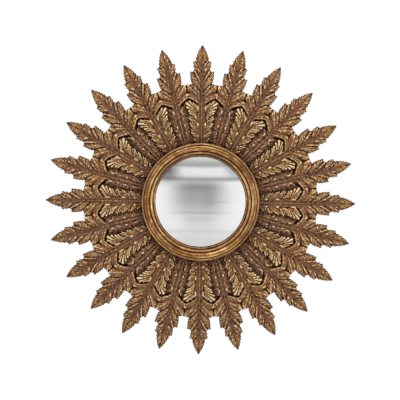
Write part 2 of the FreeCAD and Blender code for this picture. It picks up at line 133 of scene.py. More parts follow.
class Graph:
    """Node tree of one material or world, with a single method that adds nodes."""

    def __init__(self, owner: Union[bpy.types.Material, bpy.types.World]) -> None:
        """Empty the owner's node tree and keep it.

        Args:
            owner: material or world that the nodes are for.
        """
        owner.use_nodes = True
        self.owner = owner
        self.tree = owner.node_tree
        self.tree.nodes.clear()

    @classmethod
    def material(cls, name: str) -> "Graph":
        """Graph of a new material of that name."""
        return cls(bpy.data.materials.new(name))

    def add(self, kind: str, settings: dict[str, Any], inputs: dict[Any, Any]) -> bpy.types.Node:
        """Add a node, set it up and link or fill its sockets.

        Args:
            kind: type of the node.
            settings: its properties; "stops" holds the stops of a colour ramp.
            inputs: values or sockets, under the sockets' names or numbers.

        Returns:
            The node.
        """
        node = self.tree.nodes.new(kind)
        for name, value in settings.items():
            if name == "stops":
                self._set_stops(node.color_ramp, value)
            else:
                setattr(node, name, value)
        for name, value in inputs.items():
            target = node.inputs[name]
            if isinstance(value, Socket):
                self.tree.links.new(value.output, target)
            elif target.type == "RGBA" and len(value) == 3:
                target.default_value = (*value, 1.0)
            else:
                target.default_value = value
        return node

    def node(self, kind: str, settings: dict[str, Any], inputs: dict[Any, Any],
             output: Union[int, str] = 0) -> Socket:
        """Add a node that other nodes use.

        Args:
            kind: type of the node.
            settings: its properties.
            inputs: values or sockets, under the sockets' names or numbers.
            output: name or number of the output that is wanted.

        Returns:
            That output.
        """
        return Socket(self, self.add(kind, settings, inputs).outputs[output])

    @staticmethod
    def _set_stops(ramp: bpy.types.ColorRamp, stops: Sequence[tuple[float, Colour]]) -> None:
        """Put stops on a colour ramp.

        Args:
            ramp: the ramp, which starts with two stops.
            stops: place and colour of each, from the lowest.
        """
        while len(ramp.elements) < len(stops):
            ramp.elements.new(1.0)
        for element, (place, colour) in zip(ramp.elements, stops):
            element.position = place
            element.color = (*colour, 1.0)

    def split(self, socket: Socket, output: str) -> Socket:
        """Another output of the node that a socket belongs to."""
        return Socket(self, socket.output.node.outputs[output])

    def attribute(self, name: str) -> Socket:
        """Value that the mesh carries under that name."""
        return self.node("ShaderNodeAttribute", {"attribute_name": name}, {}, "Fac")

    def noise(self, size: float, detail: float = 3.0, stretch: Optional[Sequence[float]] = None) -> Socket:
        """Cloudy value from 0 to 1.

        Args:
            size: size of a cloud in metres.
            detail: number of finer layers.
            stretch: how many times longer the clouds are along X, Y and Z.

        Returns:
            The value.
        """
        place = self.node("ShaderNodeTexCoord", {}, {}, "Object")
        if stretch is not None:
            scale = tuple(1.0 / part for part in stretch)
            place = self.node("ShaderNodeMapping", {}, {"Vector": place, "Scale": scale})
        return self.node("ShaderNodeTexNoise", {}, {"Vector": place, "Scale": 1.0 / size, "Detail": detail})

    def ramp(self, value: Socket, stops: Sequence[tuple[float, Colour]]) -> Socket:
        """Colour that goes with a value."""
        return self.node("ShaderNodeValToRGB", {"stops": stops}, {"Fac": value})

    def mix(self, share: Any, first: Any, second: Any) -> Socket:
        """Mix two colours.

        Args:
            share: how much of the second, from 0 to 1.
            first: colour or socket.
            second: colour or socket.

        Returns:
            The mixed colour.
        """
        inputs = {MIX_SHARE: share, MIX_FIRST: first, MIX_SECOND: second}
        return self.node("ShaderNodeMix", {"data_type": "RGBA"}, inputs, MIX_RESULT)

    def bump(self, height: Socket, depth: float) -> Socket:
        """Normal of a surface that is raised by a height of that depth in metres."""
        return self.node("ShaderNodeBump", {}, {"Height": height, "Distance": depth, "Strength": 1.0})

    def surface(self, **sockets: Any) -> bpy.types.Material:
        """Finish the material with one principled surface.

        Args:
            **sockets: the surface's inputs, with _ for a space in their names.

        Returns:
            The material.
        """
        inputs = {name.replace("_", " "): value for name, value in sockets.items()}
        surface = self.node("ShaderNodeBsdfPrincipled", {}, inputs)
        return self.show(surface, "ShaderNodeOutputMaterial")

    def show(self, shader: Socket, kind: str) -> Union[bpy.types.Material, bpy.types.World]:
        """Link a shader to the output.

        Args:
            shader: the finished shader.
            kind: type of the output node.

        Returns:
            The material or world.
        """
        self.add(kind, {}, {"Surface": shader})
        return self.owner


@dataclass(frozen=True)
class GiltFinish:
    """Antique gilding over red-brown bole, painted dark in the hollows and bright on the ridges.

    The mesh carries "ridge", 0 in the hollows and 1 on the ridges, which paints the hollows dark,
    partly as the dark base coat and partly as painted shade, and the ridges light, partly as wear
    of the gilding and partly as painted highlight; "glow", 1 where it is painted pale gold, partly
    where rubbing bared the pale gold and partly as painted highlight; "plum", 1 where the bole
    shows purple; and "ochre", 1 where the gold was left yellow. Sizes are in metres, and a plum
    patch is so many times as large as the others.
    Wear, haze and mottle are how much grain, patches and smears shift the ridge value, and each run
    is where a mask starts and where it is full.
    """

    name: str
    hollow: Colour = (0.011, 0.003, 0.0008)
    shade: Colour = (0.096, 0.037, 0.013)
    body: Colour = (0.255, 0.115, 0.045)
    gold: Colour = (0.480, 0.260, 0.095)
    pale: Colour = (1.000, 0.760, 0.440)
    bole: Colour = (0.250, 0.084, 0.036)
    plum: Colour = (0.200, 0.118, 0.094)
    ochre: Colour = (0.420, 0.230, 0.045)
    stops: tuple[float, ...] = (0.04, 0.20, 0.42, 0.72, 0.98)
    metallic: float = 0.60
    roughness: float = 0.40
    hollow_roughness: float = 0.30
    grain_roughness: float = 0.15
    grain_size: float = 0.0024
    grain_depth: float = 0.00035
    smear_size: float = 0.0050
    patch: float = 0.012
    wear: float = 0.45
    haze: float = 0.25
    mottle: float = 0.72
    crest_run: Pair = (0.45, 0.80)
    bole_run: Pair = (0.49, 0.64)
    bole_share: float = 0.75
    plum_run: Pair = (0.51, 0.66)
    plum_low: Pair = (0.18, 0.42)
    plum_patches: float = 0.65
    plum_patch: float = 1.7
    plum_stretch: tuple[float, float, float] = (1.0, 1.0, 1.4)
    plum_carved: float = 0.60
    plum_share: float = 0.8
    ochre_run: Pair = (0.30, 0.55)
    ochre_top: Pair = (0.8, 1.0)
    ochre_share: float = 0.6
    pale_run: Pair = (0.36, 0.90)
    pale_smears: float = 1.1
    pale_patches: float = 0.7
    pale_share: float = 0.85

    def material(self) -> bpy.types.Material:
        """Make the material.

        Returns:
            The material, with its nodes.
        """
        graph = Graph.material(self.name)
        grain = graph.noise(self.grain_size, detail=4.0)
        cloud = graph.noise(self.patch)
        other = graph.noise(self.patch * self.plum_patch, 2.0, self.plum_stretch)
        smear = graph.noise(self.smear_size)
        speckle = grain.centred() * self.wear + cloud.centred() * self.haze + smear.centred() * self.mottle
        # The ridge value paints the hollows dark and the ridges light, partly as the dark base coat and the
        # wear of the gilding and partly as painted shade and highlight.
        worn_and_shaded = (graph.attribute("ridge") + speckle).clamped()
        colours = (self.hollow, self.shade, self.body, self.gold, self.pale)
        colour = graph.ramp(worn_and_shaded, tuple(zip(self.stops, colours)))
        middle = 1 - worn_and_shaded.between(*self.crest_run)
        colour = graph.mix(cloud.between(*self.bole_run) * middle * self.bole_share, colour, self.bole)
        purple = graph.attribute("plum") * self.plum_carved
        purple = purple + other.between(*self.plum_run) * self.plum_patches
        purple = (purple * middle * worn_and_shaded.between(*self.plum_low)).clamped()
        colour = graph.mix(purple * self.plum_share, colour, self.plum)
        yellow = worn_and_shaded.between(*self.ochre_run) * (1 - worn_and_shaded.between(*self.ochre_top))
        yellow = graph.attribute("ochre") * yellow
        colour = graph.mix(yellow * self.ochre_share, colour, self.ochre)
        # The pale gold is partly gilding that rubbing laid bare and partly painted highlight.
        rubbed_and_highlit = smear.centred() * self.pale_smears + other.centred() * self.pale_patches
        rubbed_and_highlit = (graph.attribute("glow") + rubbed_and_highlit).between(*self.pale_run)
        colour = graph.mix(rubbed_and_highlit * self.pale_share, colour, self.pale)
        rough = self.roughness + (1 - worn_and_shaded) * self.hollow_roughness + grain.centred() * self.grain_roughness
        normal = graph.bump(grain, self.grain_depth)
        return graph.surface(Base_Color=colour, Metallic=self.metallic, Roughness=rough, Normal=normal)


@dataclass(frozen=True)
class PaintFinish:
    """Brushed paint or bare sheet: a colour with clouds, fine grain and a low sheen, in metres."""

    name: str
    dark: Colour
    light: Colour
    grain: float = 0.002
    cloud: float = 0.05
    roughness: float = 0.7
    relief: float = 0.0001
    grain_share: float = 0.6
    cloud_share: float = 0.7
    darker: float = 0.15
    unevenness: float = 0.2

    def material(self) -> bpy.types.Material:
        """Make the material.

        Returns:
            The material, with its nodes.
        """
        graph = Graph.material(self.name)
        grain = graph.noise(self.grain, detail=4.0)
        cloud = graph.noise(self.cloud)
        share = (grain * self.grain_share + cloud * self.cloud_share - self.darker).clamped()
        colour = graph.mix(share, self.dark, self.light)
        rough = self.roughness + cloud.centred() * self.unevenness
        return graph.surface(Base_Color=colour, Roughness=rough, Normal=graph.bump(grain, self.relief))


@dataclass(frozen=True)
class MetalFinish:
    """Plated metal with fine upright scratches and a little tarnish, in metres."""

    name: str
    bright: Colour
    tarnish: Colour
    roughness: float = 0.3
    scratch_size: float = 0.0008
    scratch_stretch: tuple[float, float, float] = (1.0, 1.0, 12.0)
    scratch_depth: float = 0.00003
    scratch_roughness: float = 0.18
    tarnish_size: float = 0.006
    tarnish_run: Pair = (0.45, 0.75)
    tarnish_share: float = 0.7
    dull_run: Pair = (0.4, 0.8)
    dull_roughness: float = 0.15

    def material(self) -> bpy.types.Material:
        """Make the material.

        Returns:
            The material, with its nodes.
        """
        graph = Graph.material(self.name)
        scratch = graph.noise(self.scratch_size, stretch=self.scratch_stretch)
        cloud = graph.noise(self.tarnish_size, detail=4.0)
        colour = graph.mix(cloud.between(*self.tarnish_run) * self.tarnish_share, self.bright, self.tarnish)
        rough = self.roughness + scratch * self.scratch_roughness
        rough = rough + cloud.between(*self.dull_run) * self.dull_roughness
        normal = graph.bump(scratch, self.scratch_depth)
        return graph.surface(Base_Color=colour, Metallic=1.0, Roughness=rough, Normal=normal)


@dataclass(frozen=True)
class SilverFinish:
    """Silvered glass: a clean mirror with the faintest haze, in clouds of a size in metres."""

    name: str
    silver: Colour = (0.90, 0.905, 0.905)
    haze: Colour = (0.84, 0.845, 0.845)
    cloud: float = 0.03
    roughness: float = 0.015
    haze_roughness: float = 0.02

    def material(self) -> bpy.types.Material:
        """Make the material.

        Returns:
            The material, with its nodes.
        """
        graph = Graph.material(self.name)
        cloud = graph.noise(self.cloud)
        colour = graph.mix(cloud, self.silver, self.haze)
        rough = self.roughness + cloud * self.haze_roughness
        return graph.surface(Base_Color=colour, Metallic=1.0, Roughness=rough)


# ---------------------------------------------------------------------------------- mesh building


def add_mesh(name: str, points: np.ndarray, faces: Sequence[Sequence[int]],
             values: Optional[dict[str, np.ndarray]] = None, smooth: bool = True) -> bpy.types.Object:
    """Make a mesh object in the scene.

    Args:
        name: name of the object.
        points: places of the vertices in metres.
        faces: vertex numbers of each face.
        values: numbers that the mesh carries at its vertices, by name.
        smooth: whether its faces are shaded smooth.

    Returns:
        The object.
    """
    mesh = bpy.data.meshes.new(name)
    mesh.from_pydata(points.tolist(), [], [list(map(int, face)) for face in faces])
    for key, numbers in (values or {}).items():
        attribute = mesh.attributes.new(key, "FLOAT", "POINT")
        attribute.data.foreach_set("value", np.asarray(numbers, np.float32))
    mesh.polygons.foreach_set("use_smooth", [smooth] * len(mesh.polygons))
    mesh.update()
    thing = bpy.data.objects.new(name, mesh)
    bpy.context.scene.collection.objects.link(thing)
    return thing


def install(thing: bpy.types.Object, material: bpy.types.Material, slot: str, *nodes: str) -> None:
    """Dress a piece, seat it on the mirror's frame and let it stand for its nodes.

    Args:
        thing: the piece.
        material: its finish.
        slot: not used.
        *nodes: nodes that it stands for.
    """
    thing.data.materials.append(material)
    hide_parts(*nodes)
    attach(thing, FRAME_BODY)
    log.info("%s: %d faces", thing.name, len(thing.data.polygons))


def blur(grid: np.ndarray, radius: float) -> np.ndarray:
    """Soften a grid of numbers.

    Args:
        grid: the numbers.
        radius: standard deviation in grid steps.

    Returns:
        The softened numbers.
    """
    reach = max(1, int(math.ceil(radius * 3)))
    steps = np.arange(-reach, reach + 1)
    kernel = np.exp(-0.5 * (steps / radius) ** 2)
    kernel /= kernel.sum()
    soft = grid
    for axis in (0, 1):
        padding = [(reach, reach) if axis == number else (0, 0) for number in (0, 1)]
        padded = np.pad(soft, padding, mode="edge")
        soft = sum(weight * np.take(padded, np.arange(number, number + grid.shape[axis]), axis=axis)
                   for number, weight in enumerate(kernel))
    return soft


def smooth_step(value: np.ndarray, low: float, high: float) -> np.ndarray:
    """Smooth step from 0 at low to 1 at high."""
    share = np.clip((value - low) / (high - low), 0.0, 1.0)
    return share * share * (3.0 - 2.0 * share)


# ------------------------------------------------------------------------------------------ leaves

# A finger's path: how many points it has, and how far it ends short of the tip, in half widths.
PATH_POINTS = 17
PATH_SHORT = 0.8

# A lobe's fingers: where they bend, as shares of their run across and of their rise, and how far
# from the root at least; how much the rise sways from finger to finger, and how fast across and
# along; and how much lower the lobe's first and last finger lie.
BEND_ACROSS = 0.14
BEND_ALONG = 0.86
LEAST_BEND = 1.0
SWAY = 0.10
SWAY_WAVES = (5.3, 2.1)
OUTER_DROP = 0.6

# Where nothing is carved: distance inside an outline, height, and how near a crease it counts.
OUTSIDE = -99.0
BARE_HEIGHT = -2.0
BARE_CREASE = 0.4

# Least squared slope that the distance inside an outline counts with, where points at its edge are
# moved onto it.
LEAST_SLOPE = 0.15

# What the back of a casting carries, all over.
BACK_VALUES = (("ridge", 0.26), ("glow", 0.0), ("plum", 0.5))


class LeafKind(Enum):
    """The two castings that alternate round the ring."""

    BROAD = "broad_leaf"
    NARROW = "narrow_leaf"


@dataclass(frozen=True)
class Finger:
    """One ridge of the carving, along a curve from its root past its bend to its tip.

    Places are (across from the midrib, along from the mirror's centre) in millimetres, like its
    half width, the height of its crest over its foot (relief) and that of its foot (crown). Hollow
    is how deeply its crest is dished, sheen how much brighter it is painted than the rest, partly
    as gilding and partly as painted highlight, base its width at the root as a share of its full
    width, and taper how much it narrows to the tip.
    """

    root: Pair
    bend: Pair
    tip: Pair
    width: float
    relief: float
    crown: float
    hollow: float
    sheen: float
    base: float = 0.52
    taper: float = 0.2

    def path(self) -> np.ndarray:
        """Follow the middle of the finger.

        Returns:
            Points along it, short of its round end.
        """
        shares = np.linspace(0.0, 1.0, PATH_POINTS)
        end = np.subtract(self.tip, self.bend)
        tip = np.subtract(self.tip, end / np.hypot(*end) * self.width * PATH_SHORT)
        return np.stack([
            (1 - shares) ** 2 * self.root[axis] + 2 * shares * (1 - shares) * self.bend[axis]
            + shares ** 2 * tip[axis] for axis in (0, 1)
        ], axis=1)


@dataclass(frozen=True)
class Lobe:
    """Fan of fingers that leave the midrib side by side and end in the teeth of one lobe.

    Roots are those of the lowest and the highest finger, tips those of all, and rise how steeply
    the lowest and the highest finger run to their tips. The rest is as for a finger.
    """

    roots: tuple[Pair, Pair]
    tips: tuple[Pair, ...]
    rise: Pair
    width: float
    relief: float
    crown: float
    hollow: float = 0.0
    sheen: float = 0.0

    def fingers(self) -> list[Finger]:
        """Spread the lobe's fingers.

        Returns:
            The fingers, from the lowest tooth to the highest.
        """
        made = []
        for number, tip in enumerate(self.tips):
            share = number / (len(self.tips) - 1)
            root = tuple(low + (high - low) * share for low, high in zip(*self.roots))
            rise = self.rise[0] + (self.rise[1] - self.rise[0]) * share
            rise = rise + SWAY * math.sin(SWAY_WAVES[0] * tip[0] + SWAY_WAVES[1] * tip[1])
            run = tip[0] - root[0]
            low = max(root[1] + LEAST_BEND, tip[1] - BEND_ALONG * rise * run)
            bend = (root[0] + BEND_ACROSS * run, low)
            crown = self.crown * (1.0 - OUTER_DROP * abs(2.0 * share - 1.0))
            made.append(Finger(root, bend, tip, self.width, self.relief, crown, self.hollow, self.sheen))
        return made


@dataclass(frozen=True)
class Drop:
    """Drop-shaped bead beside the midrib: its place, half length, half width, height and sheen."""

    across: float
    along: float
    length: float
    width: float
    height: float
    sheen: float


@dataclass(frozen=True)
class Crease:
    """Dark cut between two lobes or fingers, along a straight line and shallower towards its end."""

    start: Pair
    end: Pair
    width: float
    depth: float


OUTER_LOBES: tuple[Lobe, ...] = (
    Lobe(((2.0, 356), (1.6, 374)), ((16.4, 377.5), (13.6, 386.0), (10.4, 393.5), (7.0, 400.5)),
         rise=(0.7, 1.8), width=3.7, relief=1.9, crown=0.6),
    Lobe(((2.8, 330), (2.6, 344)), ((20.0, 349), (22.4, 357), (23.0, 366), (15.6, 370.5)),
         rise=(0.5, 1.7), width=3.9, relief=2.3, crown=1.1),
    Lobe(((3.8, 292), (3.6, 308)),
         ((25.2, 311), (28.6, 317.5), (29.6, 324.5), (30.0, 332), (30.4, 340), (21.5, 343.5)),
         rise=(0.45, 1.7), width=3.9, relief=2.5, crown=1.4),
    Lobe(((5.0, 268), (5.0, 282)), ((35.0, 291.5), (38.0, 298), (37.4, 305), (30.0, 307.5), (23.5, 306.5)),
         rise=(0.45, 1.9), width=4.4, relief=2.5, crown=1.4),
    Lobe(((5.5, 257.5), (5.5, 270)), ((35.4, 274.0), (38.8, 281.2), (32.0, 285.5)),
         rise=(0.42, 0.70), width=3.7, relief=1.6, crown=0.4, sheen=-0.04),
)
BROAD_LOBES: tuple[Lobe, ...] = (
    Lobe(((15.0, 231), (12.5, 243)),
         ((35.8, 238.4), (40.4, 247.8), (42.2, 258.6), (33.4, 263.0), (24.2, 257.8), (16.0, 252.0)),
         rise=(0.30, 1.5), width=4.8, relief=4.2, crown=1.2, hollow=0.25, sheen=0.13),
)
BROAD_FINGERS: tuple[Finger, ...] = (
    Finger((13.5, 216), (15.0, 229.5), (33.6, 231.4), 3.9, 2.6, 0.4, 0.5, 0.02, base=0.9, taper=0.3),
    Finger((21.0, 218), (27.0, 219.5), (31.5, 224.6), 2.6, 1.4, 0.0, 0.0, -0.02, base=0.9, taper=0.3),
    Finger((11.0, 196), (16.0, 208), (36.6, 221.0), 7.2, 3.0, 1.0, 1.3, 0.02, base=0.62, taper=0.72),
    Finger((21.0, 200), (26.0, 203.5), (32.4, 206.8), 3.4, 2.2, 0.2, 0.4, 0.02, base=0.8, taper=0.5),
    Finger((10.8, 183), (15.0, 195), (31.0, 201.0), 5.6, 2.6, 0.5, 1.1, 0.0, base=0.7, taper=0.6),
    Finger((19.0, 184), (23.0, 186.5), (27.5, 189.6), 3.0, 2.0, 0.1, 0.3, 0.0, base=0.8, taper=0.5),
    Finger((9.3, 166), (15.0, 177), (29.2, 184.0), 5.2, 2.6, 0.4, 1.0, 0.0, base=0.7, taper=0.6),
    Finger((8.0, 156), (14.0, 162), (23.0, 168.0), 3.8, 1.8, 0.1, 0.4, -0.05, base=0.8, taper=0.5),
)
NARROW_LOBES: tuple[Lobe, ...] = (
    Lobe(((8.0, 226), (8.0, 240)), ((27, 238), (28.5, 246), (26, 254.5), (18, 252)),
         rise=(0.4, 1.4), width=4.2, relief=1.5, crown=0.8, sheen=-0.08),
    Lobe(((7.5, 208), (7.5, 218)), ((25, 217), (26.5, 225), (23.5, 232)),
         rise=(0.4, 1.2), width=4.0, relief=1.4, crown=0.7, sheen=-0.10),
    Lobe(((7.0, 190), (7.0, 199)), ((22, 198), (23.5, 206), (20.5, 212.5)),
         rise=(0.4, 1.2), width=3.9, relief=1.4, crown=0.7, sheen=-0.10),
    Lobe(((6.5, 172), (6.5, 181)), ((18, 180), (19, 187.5), (16.5, 193.5)),
         rise=(0.4, 1.2), width=3.6, relief=1.3, crown=0.6, sheen=-0.10),
    Lobe(((5.0, 158), (5.0, 165)), ((12.5, 166), (13.5, 174)),
         rise=(0.4, 1.2), width=3.2, relief=1.2, crown=0.5, sheen=-0.10),
)
BROAD_DROPS: tuple[Drop, ...] = (
    Drop(9.8, 243.5, length=8.0, width=2.9, height=4.8, sheen=0.34),
    Drop(8.6, 226.0, length=9.0, width=1.3, height=1.8, sheen=-0.16),
    Drop(9.8, 202.0, length=6.2, width=2.8, height=4.0, sheen=0.28),
    Drop(8.4, 188.0, length=7.5, width=1.2, height=1.6, sheen=-0.16),
    Drop(9.4, 173.0, length=4.6, width=2.4, height=3.0, sheen=0.20),
)
NARROW_DROPS: tuple[Drop, ...] = (
    Drop(10.4, 240.5, length=6.0, width=2.5, height=3.8, sheen=0.22),
    Drop(9.6, 222.0, length=5.0, width=1.8, height=2.4, sheen=0.10),
    Drop(10.2, 203.0, length=5.2, width=2.4, height=3.6, sheen=0.20),
    Drop(8.8, 183.0, length=4.5, width=2.0, height=3.0, sheen=0.12),
)
CREASES: tuple[Crease, ...] = (
    Crease((22.5, 309.0), (13.0, 301.0), width=1.3, depth=1.7),
    Crease((19.5, 343.5), (14.0, 338.0), width=1.1, depth=0.8),
    Crease((15.5, 371.0), (11.0, 365.5), width=1.0, depth=0.7),
    Crease((38.0, 287.0), (25.0, 283.0), width=1.3, depth=2.6),
    Crease((9.0, 352.0), (7.0, 346.0), width=0.9, depth=0.8),
    Crease((11.5, 318.0), (9.0, 309.0), width=1.0, depth=0.9),
    Crease((13.5, 289.0), (10.0, 280.0), width=1.1, depth=1.1),
)
FAN_CREASES: tuple[Crease, ...] = (
    Crease((39.4, 243.4), (20.0, 236.5), width=1.2, depth=3.6),
    Crease((42.4, 253.2), (20.0, 240.5), width=1.2, depth=4.0),
    Crease((37.6, 262.4), (19.0, 243.5), width=1.2, depth=4.0),
    Crease((28.4, 262.0), (16.5, 246.0), width=1.1, depth=3.4),
    Crease((19.6, 256.0), (14.5, 246.0), width=0.9, depth=2.4),
    Crease((30.0, 223.5), (17.0, 213.5), width=1.0, depth=1.6),
)
# Pierced spots of a narrow leaf, through which the board shows: across, along and radius.
HOLES: tuple[tuple[float, float, float], ...] = (
    (26.8, 222.0, 3.0), (24.0, 201.5, 2.8), (24.3, 186.0, 3.0), (21.8, 166.0, 3.8),
)


@dataclass
class Relief:
    """Fields of a carved leaf on a grid: distance inside, height, sheen and how near a crease is."""

    inside: np.ndarray
    height: np.ndarray
    sheen: np.ndarray
    crease: np.ndarray

    @classmethod
    def empty(cls, shape: tuple[int, ...]) -> "Relief":
        """Relief with nothing on it."""
        return cls(np.full(shape, OUTSIDE), np.full(shape, BARE_HEIGHT), np.zeros(shape),
                   np.full(shape, BARE_CREASE))

    def add(self, other: "Relief") -> None:
        """Lay another relief over this one, the higher of the two showing.

        Args:
            other: the relief to lay over it, on the same grid.
        """
        self.inside = np.maximum(self.inside, other.inside)
        higher = other.height > self.height
        self.height = np.where(higher, other.height, self.height)
        self.sheen = np.where(higher, other.sheen, self.sheen)
        self.crease = np.where(higher, other.crease, self.crease)


@dataclass(frozen=True)
class Chisel:
    """How fingers, ridges, beads and creases are cut and toned.

    Shares along a finger run from 0 at its root to 1 at its tip, and shares across it from 0 on
    its crest to 1 on its edge; a reach is such a share, beyond which nothing is left. Beats are
    the swellings that a gouge leaves along a finger, painted lighter on their tops as glints and
    darker between. Lengths are in millimetres, and tones add to the sheen; the belly is a painted
    highlight along the crest, short of the tip.
    """

    widest: float = 0.60
    taper_start: float = 0.80
    taper_lead: float = 0.60
    dome_power: float = 0.75
    dome_share: float = 0.45
    crest_share: float = 0.60
    dish_width: float = 0.45
    dish_run: Pair = (0.15, 0.60)
    dish_depth: float = 0.45
    root_height: float = 0.38
    highest: float = 0.65
    beat_length: float = 11.0
    beat_pace: Pair = (0.7, 1.2)
    beat_force: Pair = (0.3, 1.1)
    beat_height: float = 0.32
    sheen_run: Pair = (0.30, 0.85)
    root_run: float = 0.40
    root_tone: float = 0.07
    tone_spread: float = 0.06
    beat_glint: float = 0.12
    belly_place: float = 0.66
    belly_length: float = 0.20
    belly_highlight: float = 0.10
    dish_tone: float = 0.16
    crease_run: Pair = (0.55, 0.95)
    uneven_size: float = 1.5
    uneven_height: float = 0.32
    least_width: float = 0.1
    ridge_reach: float = 1.2
    ridge_crease: Pair = (0.6, 1.0)
    bead_narrowing: float = 0.5
    bead_swelling: float = 0.2
    bead_reach: float = 1.15
    bead_crease: Pair = (0.75, 1.0)
    crease_fade: float = 0.6


@dataclass(frozen=True)
class Rubbing:
    """How the gilding wears, and where shade and highlights are painted, from the relief.

    Reaches are distances in millimetres, and runs are stretches from the mirror's centre, where
    the outline's rim is painted dark as shade, the tips are painted a little darker and the roots
    are painted dark as the ring's shade.
    The rest is what each adds to the ridge value or to the glow, or takes from it.
    """

    level: float = 0.46
    fine_reach: float = 1.8
    fine: float = 0.28
    broad_reach: float = 5.0
    broad: float = 0.08
    sheen: float = 0.80
    dull: float = 1.9
    tip_run: Pair = (355.0, 400.0)
    tip_darkening: float = 0.03
    root_run: Pair = (156.0, 204.0)
    root_shade: float = 0.14
    rim_run: Pair = (268.0, 300.0)
    rim_reach: Pair = (0.2, 2.8)
    rim_shade: float = 0.34
    rim_fade: float = 0.3
    glow_heights: Pair = (0.05, 0.55)
    glow: float = 0.46
    glow_sheen: float = 2.6
    glow_rim: float = 0.9
    glow_crease: float = 0.8
    glow_root: float = 0.3


@dataclass(frozen=True)
class FlatPart:
    """How the flat-lying part of a leaf is carved and coloured.

    A broad leaf has a flute on either side of its stem. The bed shows between the lobes: it drops
    away from the stem, but not in the outer part. A narrow leaf's root is painted darker, as shade,
    where it lies in the lee of its neighbours' raised lobes. Runs are stretches in millimetres,
    softness is in steps of the grid, and the stem's width and rise are shares of the ground's
    "stem".
    """

    flute_along: tuple[float, ...] = (150, 250, 330)
    flute_across: tuple[float, ...] = (6.8, 7.2, 5.4)
    flute_end: Pair = (270.0, 300.0)
    flute_width: float = 1.2
    flute_height: float = 0.6
    flute_sheen: float = -0.20
    stem_width: float = 0.8
    stem_foot: float = 0.6
    stem_rise: float = 0.5
    stem_sheen: float = -0.10
    outer_run: Pair = (300.0, 330.0)
    bed: float = 0.4
    bed_drop: float = 1.4
    bed_run: Pair = (7.0, 12.0)
    outer_bed: float = 0.8
    softness: float = 0.5
    lee_across: Pair = (14.0, 25.0)
    lee_along: Pair = (246.0, 262.0)
    lee_shade: float = 0.20
    # Creases are painted darker, partly as the dark base coat and partly as shade.
    dirt_and_shade: float = 0.16
    plum: float = 0.9
    plum_along: tuple[float, ...] = (280, 330, 375)
    plum_across: tuple[float, ...] = (6.5, 12.0, 9.0)
    plum_start: float = 1.5
    plum_end: Pair = (365.0, 398.0)
    root_plum: float = 0.8
    root_plum_run: Pair = (240.0, 266.0)


@dataclass(frozen=True)
class RaisedPart:
    """How the raised lobes of a broad leaf are carved and coloured.

    Their rim is rolled, and painted brighter as a highlight where it faces the tip, where its creases
    are darkened less. They lift off the ground away from the midrib, droop at their ends and are
    thicker at their heel. Lengths and runs are in millimetres, softness in steps of the grid.
    """

    facing_least: float = 0.40
    facing_run: Pair = (-0.6, 0.6)
    rim_inside: float = 1.3
    rim_width: float = 0.9
    rim_run: Pair = (11.0, 16.0)
    rim_height: float = 1.2
    rim_sheen: float = 0.34
    rim_crease_fade: float = 0.8
    bed: float = -0.5
    softness: float = 0.45
    unevenness: float = 0.8
    foot: float = 0.6
    lift_run: Pair = (6.0, 25.0)
    droop: float = 2.2
    droop_run: Pair = (30.0, 43.0)
    heel: float = 3.0
    heel_run: Pair = (6.0, 24.0)
    # Creases are painted darker, partly as the dark base coat and partly as shade.
    dirt_and_shade: float = 0.46
    plum: float = 0.6
    plum_run: Pair = (-1.0, 2.0)
    ochre: float = 0.8
    ochre_run: Pair = (1.0, 3.0)


